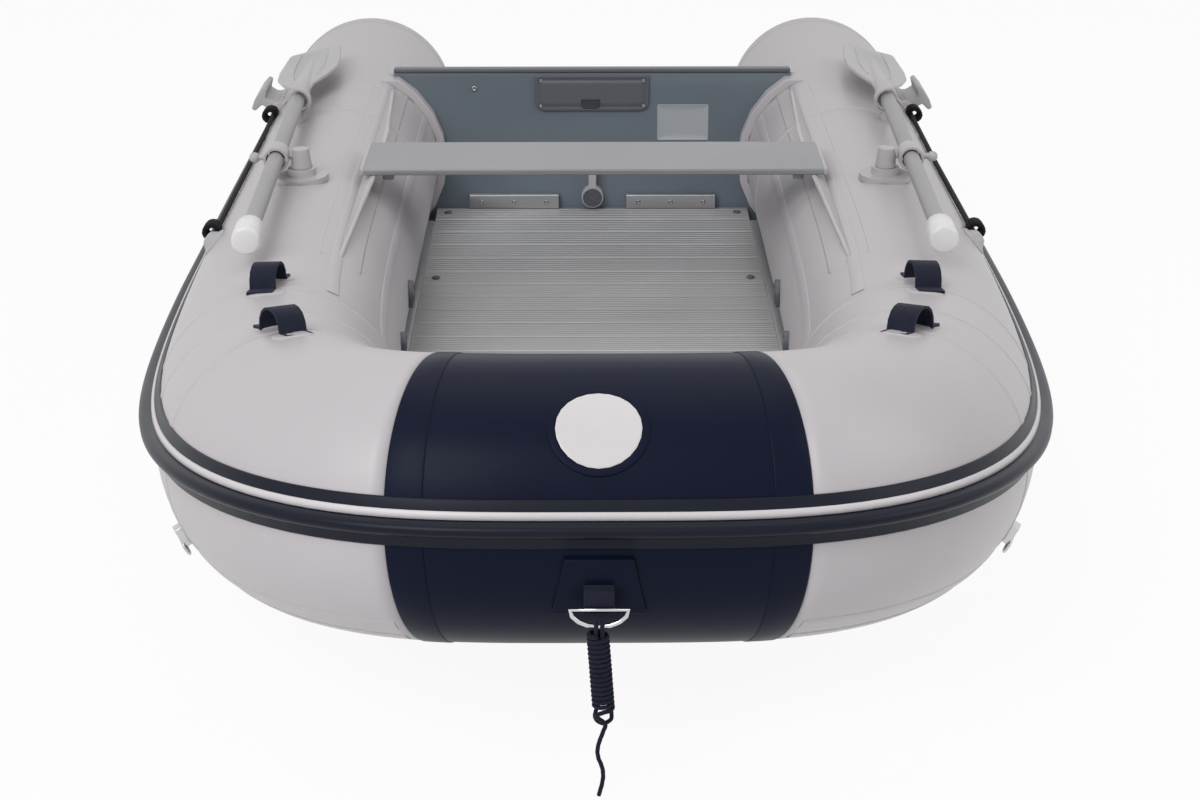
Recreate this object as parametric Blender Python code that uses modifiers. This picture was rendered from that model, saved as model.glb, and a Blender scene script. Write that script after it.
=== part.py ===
"""Inflatable boat with an aluminium plank floor, a transom, a sliding bench and two oars.

The boat is modelled at its real size in metres. Its bow points towards -Y, +Z is up, and x = 0 is
the plane of symmetry. Sizes along the boat are measured aft from the middle of the bow tube, and
heights from the ground that the side tubes lie on.
"""

import math

import bmesh
import bpy
import numpy as np
from mathutils import Matrix, Vector

# Clearances of touching flat pieces and of pieces seated on the round tube, the overrun of every
# cutter, and the weld of curve caps
GAP = 0.0003
SEAT_GAP = 0.0010
OVERRUN = 0.05
WELD = 0.00001

# Buoyancy tube: one U of constant section with a blunt, raised bow
TUBE_RADIUS = 0.208
TUBE_SPREAD = 0.575
BOW_DEPTH = 1.34
BOW_RISE = 0.134
SHEER_LENGTH = 1.20
STERN_END = 2.885
TUBE_SIDES = 24
CORNER_STATIONS = 13
BOW_SQUARENESS = 4.0
BOW_FULLNESS = 2.36
SHEER_POWER = 2.3
BOW_BAND_HALF = 0.235
CONE_LENGTH = 0.25
CONE_LENGTH_SHARES = (0.0, 0.28, 0.55, 0.8, 1.0)
CONE_RADIUS_SHARES = (1.0, 0.93, 0.74, 0.46, 0.2)

# Rubbing strake with its white line
STRAKE_RADIUS = 0.034
STRAKE_SINK = 0.006
STRAKE_SETBACK = 0.015
STRAKE_ANGLE_BOW = math.radians(14)
STRAKE_ANGLE_STERN = math.radians(4)
LINE_RADIUS = 0.007
LINE_SINK = 0.002
LINE_OFFSET = math.radians(2.8)

# Fabric bottom with its keel ridge
BOTTOM_THICKNESS = 0.006
BOTTOM_ATTACH = math.radians(-60)
KEEL_CLEARANCE = 0.012
KEEL_HALF_WIDTH = 0.06
KEEL_DEPTH = 0.018
BOTTOM_ROWS = 14
BOTTOM_TUCK = 0.050

# Floor: plank panels clamped by a stringer along each side
FLOOR_TOP = 0.087
FLOOR_THICKNESS = 0.022
FLOOR_HALF_WIDTH = 0.372
FLOOR_JOINTS = (0.66, 0.96, 1.295, 1.796, 2.285)
FLOOR_BOW_HALF_WIDTH = 0.30
PANEL_CLEARANCE = 0.0008
STRINGER_WIDTH = 0.018
STRINGER_HEIGHT = 0.040
STRINGER_PROUD = 0.006
STRINGER_START = 0.98
STRINGER_END = 2.16

# Transom, leaning aft
TRANSOM_FACE = 2.2908
TRANSOM_BOTTOM = 0.026
TRANSOM_TOP = 0.408
TRANSOM_THICKNESS = 0.030
TRANSOM_LEAN = math.radians(4.6)
TRANSOM_HALF_WIDTH = 0.47
CAP_HEIGHT = 0.010
CAP_OVERHANG = 0.004
HOLDER_WALL = 0.010
HOLDER_LENGTH = 0.090
HOLDER_TOP = 0.402
HOLDER_BOTTOM = 0.045
PAD_THICKNESS = 0.008
PAD_WIDTH = 0.270
PAD_HEIGHT = 0.084
PAD_TOP = 0.404
OUTER_PAD_WIDTH = 0.320
OUTER_PAD_HEIGHT = 0.270
OUTER_PAD_TOP = 0.395
HOLD_DOWN_LENGTH = 0.215
HOLD_DOWN_HEIGHT = 0.034
HOLD_DOWN_DEPTH = 0.020
HOLD_DOWN_X = 0.188
DRAIN_RADIUS = 0.026
DRAIN_DEPTH = 0.030
DRAIN_HEIGHT = 0.118
DRAIN_BAR_WIDTH = 0.018
DRAIN_BAR_TOP = 0.200

# Seat rails and bench
RAIL_START = 0.957
RAIL_END = 2.235
RAIL_FOOT_X = 0.470
RAIL_THICKNESS = 0.006
RAIL_LEAN = math.radians(50)
RAIL_TAPER = 0.42
BENCH_Y = 1.530
BENCH_WIDTH = 0.205
BENCH_LENGTH = 0.927
BENCH_THICKNESS = 0.014
BENCH_TOP = 0.427
BENCH_CAP = 0.008
CLAMP_LENGTH = 0.060
CLAMP_WIDTH = 0.022
CLAMP_HEIGHT = 0.030
CLAMP_CLEARANCE = 0.004

# Oars lying forward along the tubes
OAR_RADIUS = 0.019
OAR_GRIP_RADIUS = 0.026
OAR_GRIP_LENGTH = 0.085
OAR_START = (0.612, 0.815, 0.470)
OAR_TIP = (0.662, 2.400, 0.443)
OAR_PIVOT_Y = 1.400
BLADE_LENGTH = 0.430
BLADE_WIDTH = 0.145
BLADE_THICKNESS = 0.006
BLADE_ROLL = math.radians(14)
NECK_LENGTH = 0.075
COLLAR_RADIUS = 0.025
COLLAR_LENGTH = 0.055
PIN_RADIUS = 0.006
KNOB_RADIUS = 0.011
KNOB_STEM = 0.010
LOCK_X = 0.581
LOCK_PLATE_RADIUS = 0.052
LOCK_PLATE_THICKNESS = 0.008
LOCK_BOSS_RADIUS = 0.028
LOCK_BOSS_HEIGHT = 0.022
HEAD_RADIUS = 0.021
HEAD_DOME = 0.016
CLIP_Y = 1.880
CLIP_CLEARANCE = 0.006
CLIP_WALL = 0.005
CLIP_WIDTH = 0.024
CLIP_LIP = 0.008
CLIP_FOOT = 0.020

# Carrying handles of webbing on the bow shoulders
STRAP_WIDTH = 0.045
STRAP_THICKNESS = 0.004
STRAP_LENGTH = 0.130
STRAP_RISE = 0.036
STRAP_FOOT = 0.028
REAR_STRAP_X = 0.556
REAR_STRAP_Y = 0.680
REAR_STRAP_TURN = math.radians(6)
FRONT_STRAP_X = 0.486
FRONT_STRAP_Y = 0.325
FRONT_STRAP_TURN = math.radians(-31)

# Moulded side handles and the lifelines
HANDLE_Y = 2.400
HANDLE_ANGLE = math.radians(31)
HANDLE_LENGTH = 0.120
HANDLE_BASE = 0.064
HANDLE_NECK = 0.020
HANDLE_CAP = 0.062
HANDLE_REACH = 0.058
HANDLE_WALL = 0.010
LINE_ROPE_RADIUS = 0.006
LINE_START = 1.215
LINE_END = 2.230
LINE_ANGLE = math.radians(40)
HOLDER_PAD_RADIUS = 0.034
HOLDER_PAD_HEIGHT = 0.020

# Air valve in the inner side of each tube
VALVE_RADIUS = 0.028
VALVE_STAND = 0.007
VALVE_Y = 1.293

# Bow patch with its webbing tab and steel ring
PATCH_ANGLE = math.radians(-11)
PATCH_HEIGHT = 0.092
PATCH_TOP_WIDTH = 0.095
PATCH_FOOT_WIDTH = 0.130
PATCH_THICKNESS = 0.004
TAB_WIDTH = 0.042
TAB_THICKNESS = 0.008
TAB_LENGTH = 0.034
TAB_DROP = 0.012
RING_SEAT_SHARE = 0.3
RING_HALF_WIDTH = 0.040
RING_DEPTH = 0.026
RING_WIRE = 0.0035
SIDE_RING_PLACE = 0.280
SIDE_RING_ANGLE = math.radians(-27)
SIDE_RING_HALF_WIDTH = 0.018
SIDE_RING_DEPTH = 0.022
SIDE_RING_WIRE = 0.0028
SIDE_TAB_WIDTH = 0.020

# Painter rope: a wound hank under the ring and its free tail
ROPE_RADIUS = 0.00325
HANK_RADIUS = 0.0140
HANK_TOP = (-0.002, -0.224, 0.2455)
HANK_FOOT = (0.006, -0.228, 0.122)
TAIL_POINTS = (
    (0.0061, -0.2281, 0.1214),
    (0.0075, -0.2287, 0.1120),
    (0.0080, -0.2294, 0.1020),
    (0.0060, -0.2302, 0.0920),
    (0.0025, -0.2310, 0.0820),
    (-0.0010, -0.2316, 0.0710),
    (-0.0025, -0.2320, 0.0600),
    (-0.0010, -0.2322, 0.0490),
    (0.0030, -0.2322, 0.0380),
    (0.0052, -0.2330, 0.0275),
    (0.0050, -0.2348, 0.0175),
    (0.0032, -0.2385, 0.0090),
    (0.0010, -0.2450, 0.0045),
    (-0.0006, -0.2540, 0.0034),
)

COLOURS = {
    "pvc_grey": ((0.53, 0.51, 0.52), 0.45, 0.0),
    "pvc_navy": ((0.011, 0.014, 0.025), 0.42, 0.0),
    "strake_white": ((0.70, 0.67, 0.68), 0.4, 0.0),
    "aluminium": ((0.36, 0.36, 0.37), 0.38, 0.9),
    "transom_blue": ((0.11, 0.13, 0.16), 0.5, 0.0),
    "dark_plastic": ((0.09, 0.09, 0.11), 0.5, 0.0),
    "grey_plastic": ((0.47, 0.45, 0.46), 0.4, 0.0),
    "white_plastic": ((0.68, 0.67, 0.67), 0.35, 0.0),
    "webbing": ((0.014, 0.016, 0.026), 0.8, 0.0),
    "rope": ((0.012, 0.013, 0.022), 0.85, 0.0),
    "steel": ((0.55, 0.55, 0.56), 0.22, 1.0),
}


def material(name):
    """One Principled material for each real surface, made when it is first asked for."""
    found = bpy.data.materials.get(name)
    if found:
        return found
    colour, roughness, metallic = COLOURS[name]
    made = bpy.data.materials.new(name)
    made.use_nodes = True
    shader = made.node_tree.nodes["Principled BSDF"]
    shader.inputs["Base Color"].default_value = (*colour, 1.0)
    shader.inputs["Roughness"].default_value = roughness
    shader.inputs["Metallic"].default_value = metallic
    made.diffuse_color = (*colour, 1.0)
    return made


def start_scene():
    """Empty the scene, then make the boat's collection, the cutters' one and the boat's origin."""
    for old in list(bpy.data.objects):
        bpy.data.objects.remove(old, do_unlink=True)
    boat = bpy.data.collections.new("inflatable_boat")
    tools = bpy.data.collections.new("cutters")
    bpy.context.scene.collection.children.link(boat)
    bpy.context.scene.collection.children.link(tools)
    origin = bpy.data.objects.new("boat_origin", None)
    boat.objects.link(origin)
    return boat, tools, origin


boat_parts, cutters, boat_origin = start_scene()


def adopt(obj, finish, parent=None):
    """Put a finished object in the boat, under the boat's origin or a moving piece's axis."""
    for holder in list(obj.users_collection):
        holder.objects.unlink(obj)
    boat_parts.objects.link(obj)
    obj.parent = parent or boat_origin
    if obj.data.materials:
        obj.data.materials.clear()
    obj.data.materials.append(material(finish))
    return obj


def adopt_cutter(obj):
    """Put a cutter in its own collection, where it is never shown."""
    for holder in list(obj.users_collection):
        holder.objects.unlink(obj)
    cutters.objects.link(obj)
    obj.parent = boat_origin
    obj.hide_render = True
    obj.display_type = "WIRE"
    return obj


def new_mesh_object(name, builder):
    """An object in the scene from a bmesh that the builder fills."""
    mesh = bpy.data.meshes.new(name)
    shape = bmesh.new()
    builder(shape)
    shape.to_mesh(mesh)
    shape.free()
    obj = bpy.data.objects.new(name, mesh)
    bpy.context.scene.collection.objects.link(obj)
    return obj


def box(name, size, centre, turn=None):
    """A box of three sizes, turned about its own centre."""
    def build(shape):
        bmesh.ops.create_cube(shape, size=1)
        bmesh.ops.scale(shape, vec=size, verts=shape.verts)
    obj = new_mesh_object(name, build)
    obj.location = centre
    if turn is not None:
        obj.rotation_euler = turn.to_euler()
    return obj


def cylinder(name, radius, depth, centre, turn=None, sides=24, top_radius=None):
    """A cylinder or cone about its own Z axis."""
    def build(shape):
        bmesh.ops.create_cone(shape, cap_ends=True, segments=sides, radius1=radius,
                              radius2=radius if top_radius is None else top_radius, depth=depth)
    obj = new_mesh_object(name, build)
    obj.location = centre
    if turn is not None:
        obj.rotation_euler = turn.to_euler()
    return smooth(obj)


def smooth(obj):
    """Shade round faces smooth and keep real edges sharp."""
    obj.data.shade_smooth()
    obj.data.set_sharp_from_angle(angle=math.radians(35))
    return obj


def bevel(obj, width, segments=2):
    """Round a piece's edges."""
    edge = obj.modifiers.new("rounded_edges", "BEVEL")
    edge.width = width
    edge.segments = segments
    edge.limit_method = "ANGLE"
    return obj


def rod(name, points, radius, sides=8, radii=None, closed=False):
    """A solid rod along points, as a curve with a round bevel and filled caps."""
    curve = bpy.data.curves.new(name, "CURVE")
    curve.dimensions = "3D"
    curve.twist_mode = "Z_UP"
    curve.bevel_depth = radius
    curve.bevel_resolution = (sides - 4) // 2
    curve.use_fill_caps = True
    spline = curve.splines.new("POLY")
    spline.points.add(len(points) - 1)
    spline.use_cyclic_u = closed
    for number, place in enumerate(points):
        spline.points[number].co = (*place, 1)
        spline.points[number].radius = radii[number] if radii else 1
    obj = bpy.data.objects.new(name, curve)
    bpy.context.scene.collection.objects.link(obj)
    return obj


def outline(name, points, half_thickness):
    """A flat outline in the object's XY plane, filled and given its thickness."""
    curve = bpy.data.curves.new(name, "CURVE")
    curve.dimensions = "2D"
    curve.fill_mode = "BOTH"
    curve.extrude = half_thickness
    spline = curve.splines.new("POLY")
    spline.points.add(len(points) - 1)
    spline.use_cyclic_u = True
    for number, place in enumerate(points):
        spline.points[number].co = (*place, 0, 1)
    obj = bpy.data.objects.new(name, curve)
    bpy.context.scene.collection.objects.link(obj)
    return obj


def as_mesh(obj):
    """Turn a curve into a welded mesh object of the same name and place."""
    bpy.context.view_layer.update()
    graph = bpy.context.evaluated_depsgraph_get()
    mesh = bpy.data.meshes.new_from_object(obj.evaluated_get(graph))
    shape = bmesh.new()
    shape.from_mesh(mesh)
    bmesh.ops.remove_doubles(shape, verts=shape.verts, dist=WELD)
    shape.to_mesh(mesh)
    shape.free()
    name = obj.name
    place = obj.matrix_world.copy()
    obj.name = name + "_curve"
    made = bpy.data.objects.new(name, mesh)
    made.matrix_world = place
    bpy.context.scene.collection.objects.link(made)
    bpy.data.objects.remove(obj, do_unlink=True)
    return made


def combine(obj, other, how="DIFFERENCE"):
    """Cut, join or trim a piece with another one."""
    step = obj.modifiers.new(how.lower() + "_" + other.name, "BOOLEAN")
    step.operation = how
    step.object = other
    step.solver = "EXACT"
    return obj


def mirrored(side, place):
    """A place on the left (side -1) or right (side 1) of the boat."""
    return (side * place[0], place[1], place[2])


def side_name(side):
    return "left" if side < 0 else "right"


def tube_centre(turn, inset=0.0):
    """The tube's centre line in plan: turn 0 is the middle of the bow, a quarter turn its shoulder."""
    half = TUBE_SPREAD - inset
    depth = BOW_DEPTH - inset
    x = half * math.sin(turn) ** (2 / BOW_SQUARENESS)
    y = inset + depth * (1 - max(math.cos(turn), 0.0) ** (2 / BOW_FULLNESS))
    return x, y


def tube_height(y):
    """Height of the tube's centre line, which rises over the bow."""
    forward = min(max((SHEER_LENGTH - y) / SHEER_LENGTH, 0.0), 1.0)
    return TUBE_RADIUS + BOW_RISE * forward ** SHEER_POWER


def tube_x_at(y):
    """Half distance between the tubes' centre lines at a place along the boat."""
    aft = min(max(1 - y / BOW_DEPTH, 0.0), 1.0)
    turn = math.acos(aft ** (BOW_FULLNESS / 2))
    return tube_centre(turn)[0]


def tube_path(setback=0.0):
    """Stations of the tube's centre line from the left stern round the bow to the right stern."""
    turns = [math.pi / 2 * n / CORNER_STATIONS for n in range(CORNER_STATIONS + 1)]
    half = [tube_centre(turn) for turn in turns] + [(TUBE_SPREAD, STERN_END - setback)]
    stations = [Vector((x, y, tube_height(y))) for x, y in half]
    left = [Vector((-p.x, p.y, p.z)) for p in reversed(stations[1:])]
    return left + stations


def frames_along(stations):
    """Outward and upward directions of the tube's section at each station."""
    frames = []
    for number, place in enumerate(stations):
        before = stations[max(number - 1, 0)]
        after = stations[min(number + 1, len(stations) - 1)]
        ahead = (after - before).normalized()
        outward = ahead.cross(Vector((0, 0, 1))).normalized()
        frames.append((outward, outward.cross(ahead)))
    return frames


def beside_tube(angle_of, distance):
    """A path that follows the tube at an angle above its equator and a distance from its centre."""
    stations = tube_path(STRAKE_SETBACK)
    path = []
    for place, (outward, upward) in zip(stations, frames_along(stations)):
        angle = angle_of(place.y)
        path.append(place + distance * (math.cos(angle) * outward + math.sin(angle) * upward))
    return path


def on_side_tube(side, y, angle, distance):
    """A point of the side tube's section: angle 0 is outboard, a quarter turn is the top."""
    x = tube_x_at(y) + distance * math.cos(angle)
    return Vector((side * x, y, tube_height(y) + distance * math.sin(angle)))


def section_turn(side, angle):
    """Turn that stands a piece's Z axis outward from the side tube at an angle above its equator."""
    return Matrix.Rotation(side * (math.pi / 2 - angle), 3, "Y")


def transom_y(z):
    """Where the transom's inner face stands at a height."""
    return TRANSOM_FACE + (z - FLOOR_TOP) * math.tan(TRANSOM_LEAN)


def strake_angle(y):
    """Angle of the strake above the tube's equator, which falls from the bow to the stern."""
    share = min(max(y / STERN_END, 0.0), 1.0)
    return STRAKE_ANGLE_BOW + (STRAKE_ANGLE_STERN - STRAKE_ANGLE_BOW) * share


def line_angle(y):
    """Angle of the white line, a little above the middle of the strake."""
    return strake_angle(y) + LINE_OFFSET


def plan_prism(name, points):
    """A tall cutter with a given outline in plan."""
    return adopt_cutter(as_mesh(outline(name, points, STERN_END)))


def band_outline(half_width):
    """Plan of the wedge between the two seams of the bow band, square to the tube at each seam."""
    turn = math.asin((half_width / TUBE_SPREAD) ** (BOW_SQUARENESS / 2))
    x, y = tube_centre(turn)
    step = math.radians(1)
    x_next, y_next = tube_centre(turn + step)
    along = Vector((x_next - x, y_next - y)).normalized()
    out = Vector((along.y, -along.x))
    reach = TUBE_RADIUS * 1.25
    front = Vector((x, y)) + out * reach
    back = Vector((x, y)) - out * reach
    return [(-front.x, front.y), (front.x, front.y), (back.x, back.y), (-back.x, back.y)]


def make_tube_cutters():
    """The whole tube, its inflated copy that seats other pieces, and the bow band's wedges."""
    inflated = as_mesh(rod("tube_clearance", tube_path(), TUBE_RADIUS + SEAT_GAP, TUBE_SIDES))
    adopt_cutter(inflated)
    narrow = plan_prism("band_wedge", band_outline(BOW_BAND_HALF - GAP / 2))
    wide = plan_prism("band_wedge_wide", band_outline(BOW_BAND_HALF + GAP / 2))
    return inflated, narrow, wide


tube_clearance, band_wedge, band_wedge_wide = make_tube_cutters()


def seat_on_tube(obj):
    """Give a piece the tube's own curve on its underside."""
    return combine(obj, tube_clearance)


def make_tubes():
    """Bow band and the two side tubes, split at the band's seams, and the stern cones."""
    band = as_mesh(rod("bow_section", tube_path(), TUBE_RADIUS, TUBE_SIDES))
    combine(band, band_wedge, "INTERSECT")
    adopt(smooth(band), "pvc_navy")
    for side in (-1, 1):
        name = side_name(side)
        tube = as_mesh(rod("tube_" + name, tube_path(), TUBE_RADIUS, TUBE_SIDES))
        combine(tube, band_wedge_wide)
        half = box("half_" + name, (STERN_END, STERN_END * 3, STERN_END),
                   (side * STERN_END / 2, STERN_END / 2, 0))
        combine(tube, adopt_cutter(half), "INTERSECT")
        adopt(smooth(tube), "pvc_grey")
        places = [(side * TUBE_SPREAD, STERN_END + GAP + CONE_LENGTH * share, TUBE_RADIUS)
                  for share in CONE_LENGTH_SHARES]
        cone = rod("stern_cone_" + name, places, TUBE_RADIUS, TUBE_SIDES, CONE_RADIUS_SHARES)
        adopt(smooth(as_mesh(cone)), "pvc_grey")


def make_strake():
    """Rubber bumper round the tube's widest line, and the white line along its middle."""
    centre = TUBE_RADIUS - STRAKE_SINK
    strake = as_mesh(rod("rub_strake", beside_tube(strake_angle, centre), STRAKE_RADIUS, 10))
    adopt(smooth(seat_on_tube(strake)), "pvc_navy")
    around = rod("strake_clearance", beside_tube(strake_angle, centre), STRAKE_RADIUS + GAP, 10)
    around = adopt_cutter(as_mesh(around))
    reach = centre + STRAKE_RADIUS - LINE_SINK
    line = as_mesh(rod("strake_line", beside_tube(line_angle, reach), LINE_RADIUS, 6))
    adopt(smooth(combine(line, around)), "strake_white")


def bottom_point(y, across):
    """A point of the fabric bottom: across is 0 on the keel and 1 where it meets the tube."""
    inset = TUBE_RADIUS * math.cos(BOTTOM_ATTACH)
    forward = min(max(1 - (y - inset) / (BOW_DEPTH - inset), 0.0), 1.0)
    turn = math.acos(forward ** (BOW_FULLNESS / 2))
    half = tube_centre(turn, inset)[0]
    edge = tube_height(y) + TUBE_RADIUS * math.sin(BOTTOM_ATTACH)
    keel = KEEL_CLEARANCE + tube_height(y) - TUBE_RADIUS
    x = half * across
    ridge = KEEL_DEPTH * max(0.0, 1 - (x / KEEL_HALF_WIDTH) ** 2)
    panel = keel + KEEL_DEPTH + (edge - keel - KEEL_DEPTH) * abs(across)
    return Vector((x, y, panel - ridge))


def make_bottom():
    """Fabric bottom: a shallow V between the tubes with a rounded keel, from bow to transom."""
    across_shares = (-1.0, -0.5, -0.13, -0.09, -0.045, 0.0, 0.045, 0.09, 0.13, 0.5, 1.0)
    start = TUBE_RADIUS * math.cos(BOTTOM_ATTACH) * 1.04
    end = transom_y(0) - 2 * GAP

    def build(shape):
        rows = []
        for row in range(BOTTOM_ROWS + 1):
            share = (row / BOTTOM_ROWS) ** 2
            y = start + (end - start) * share
            rows.append([shape.verts.new(bottom_point(y, across)) for across in across_shares])
        tuck = Vector((0, BOTTOM_TUCK, 0))
        rows.insert(0, [shape.verts.new(vertex.co - tuck) for vertex in rows[0]])
        for near, far in zip(rows, rows[1:]):
            for number in range(len(across_shares) - 1):
                shape.faces.new((near[number], near[number + 1], far[number + 1], far[number]))

    sheet = new_mesh_object("hull_bottom", build)
    wall = sheet.modifiers.new("fabric", "SOLIDIFY")
    wall.thickness = BOTTOM_THICKNESS
    wall.offset = 1
    seat_on_tube(sheet)
    adopt(smooth(sheet), "pvc_grey")


def make_floor():
    """Floor panels laid end to end, and the stringer that clamps their edges on each side."""
    deck = FLOOR_TOP - FLOOR_THICKNESS / 2
    for number, (start, end) in enumerate(zip(FLOOR_JOINTS, FLOOR_JOINTS[1:])):
        front_half = FLOOR_BOW_HALF_WIDTH if number == 0 else FLOOR_HALF_WIDTH
        front = start + PANEL_CLEARANCE / 2
        back = end - PANEL_CLEARANCE / 2
        shape = [(-front_half, front), (front_half, front),
                 (FLOOR_HALF_WIDTH, back), (-FLOOR_HALF_WIDTH, back)]
        panel = as_mesh(outline("floor_panel_%d" % (number + 1), shape, FLOOR_THICKNESS / 2))
        panel.location.z = deck
        adopt(seat_on_tube(panel), "aluminium")
    for side in (-1, 1):
        top = FLOOR_TOP + STRINGER_PROUD
        size = (STRINGER_WIDTH, STRINGER_END - STRINGER_START, STRINGER_HEIGHT)
        x = FLOOR_HALF_WIDTH + GAP + STRINGER_WIDTH / 2
        centre = (side * x, (STRINGER_START + STRINGER_END) / 2, top - STRINGER_HEIGHT / 2)
        rail = box("floor_stringer_" + side_name(side), size, centre)
        adopt(seat_on_tube(rail), "aluminium")


def against_transom(size, x, top, outside=False):
    """Centre of a plate that lies against the transom's inner or outer face, given its top edge."""
    middle = top - size[2] / 2 * math.cos(TRANSOM_LEAN)
    across = size[1] / 2 + GAP
    if outside:
        across = -(TRANSOM_THICKNESS + size[1] / 2 + GAP)
    return (x, transom_y(middle) - across / math.cos(TRANSOM_LEAN), middle)


def make_transom():
    """Plywood transom with its cap, motor pads and the holders that grip its sides."""
    lean = Matrix.Rotation(-TRANSOM_LEAN, 3, "X")
    height = (TRANSOM_TOP - TRANSOM_BOTTOM) / math.cos(TRANSOM_LEAN)
    middle = (TRANSOM_TOP + TRANSOM_BOTTOM) / 2
    y = transom_y(middle) + TRANSOM_THICKNESS / 2 / math.cos(TRANSOM_LEAN)
    size = (2 * TRANSOM_HALF_WIDTH, TRANSOM_THICKNESS, height)
    board = box("transom", size, (0, y, middle), lean)
    web = rod("transom_web", tube_path(), TUBE_RADIUS + HOLDER_WALL + 2 * GAP, TUBE_SIDES)
    combine(board, adopt_cutter(as_mesh(web)))
    adopt(board, "transom_blue")

    channel_size = (size[0] * 2, TRANSOM_THICKNESS + 2 * GAP, height + 2 * OVERRUN)
    channel = adopt_cutter(box("transom_channel", channel_size, (0, y, middle), lean))
    core = rod("transom_channel_core", tube_path(), TUBE_RADIUS + HOLDER_WALL + GAP, TUBE_SIDES)
    combine(channel, adopt_cutter(as_mesh(core)))
    for side in (-1, 1):
        body_size = (TUBE_RADIUS + 2 * HOLDER_WALL, HOLDER_LENGTH, HOLDER_TOP - HOLDER_BOTTOM)
        body_centre = (side * (TUBE_SPREAD - body_size[0] / 2), y, (HOLDER_TOP + HOLDER_BOTTOM) / 2)
        holder = box("transom_holder_" + side_name(side), body_size, body_centre)
        outer = rod("holder_outside_" + side_name(side),
                    [(side * TUBE_SPREAD, y - HOLDER_LENGTH, TUBE_RADIUS),
                     (side * TUBE_SPREAD, y + HOLDER_LENGTH, TUBE_RADIUS)],
                    TUBE_RADIUS + 2 * HOLDER_WALL, TUBE_SIDES)
        combine(holder, adopt_cutter(as_mesh(outer)), "INTERSECT")
        seat_on_tube(holder)
        combine(holder, channel)
        adopt(smooth(holder), "pvc_grey")

    cap_size = (2 * TRANSOM_HALF_WIDTH, TRANSOM_THICKNESS + 2 * CAP_OVERHANG, CAP_HEIGHT)
    cap_centre = Vector((0, y, middle)) + lean @ Vector((0, 0, (height + CAP_HEIGHT) / 2 + GAP))
    cap = box("transom_cap", cap_size, cap_centre, lean)
    adopt(seat_on_tube(cap), "dark_plastic")

    pad_size = (PAD_WIDTH, PAD_THICKNESS, PAD_HEIGHT)
    inner = box("motor_pad_inner", pad_size, against_transom(pad_size, 0, PAD_TOP), lean)
    adopt(inner, "dark_plastic")
    outer_size = (OUTER_PAD_WIDTH, PAD_THICKNESS, OUTER_PAD_HEIGHT)
    outer_place = against_transom(outer_size, 0, OUTER_PAD_TOP, outside=True)
    adopt(box("motor_pad_outer", outer_size, outer_place, lean), "dark_plastic")

    for side in (-1, 1):
        block_size = (HOLD_DOWN_LENGTH, HOLD_DOWN_DEPTH, HOLD_DOWN_HEIGHT)
        face = transom_y(FLOOR_TOP) - HOLD_DOWN_DEPTH / 2 - GAP
        centre = (side * HOLD_DOWN_X, face, FLOOR_TOP + GAP + HOLD_DOWN_HEIGHT / 2)
        block = box("floor_hold_down_" + side_name(side), block_size, centre)
        adopt(bevel(block, GAP * 5), "aluminium")

    across = Matrix.Rotation(math.pi / 2, 3, "X")
    drain_y = transom_y(DRAIN_HEIGHT - DRAIN_RADIUS) - DRAIN_DEPTH / 2 - GAP
    drain = cylinder("drain_valve", DRAIN_RADIUS, DRAIN_DEPTH, (0, drain_y, DRAIN_HEIGHT), across)
    bar_size = (DRAIN_BAR_WIDTH, DRAIN_DEPTH / 2, DRAIN_BAR_TOP - DRAIN_HEIGHT)
    bar_y = drain_y - DRAIN_DEPTH / 4
    bar = box("drain_bar", bar_size, (0, bar_y, (DRAIN_BAR_TOP + DRAIN_HEIGHT) / 2))
    combine(drain, adopt_cutter(bar), "UNION")
    adopt(drain, "grey_plastic")


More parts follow.
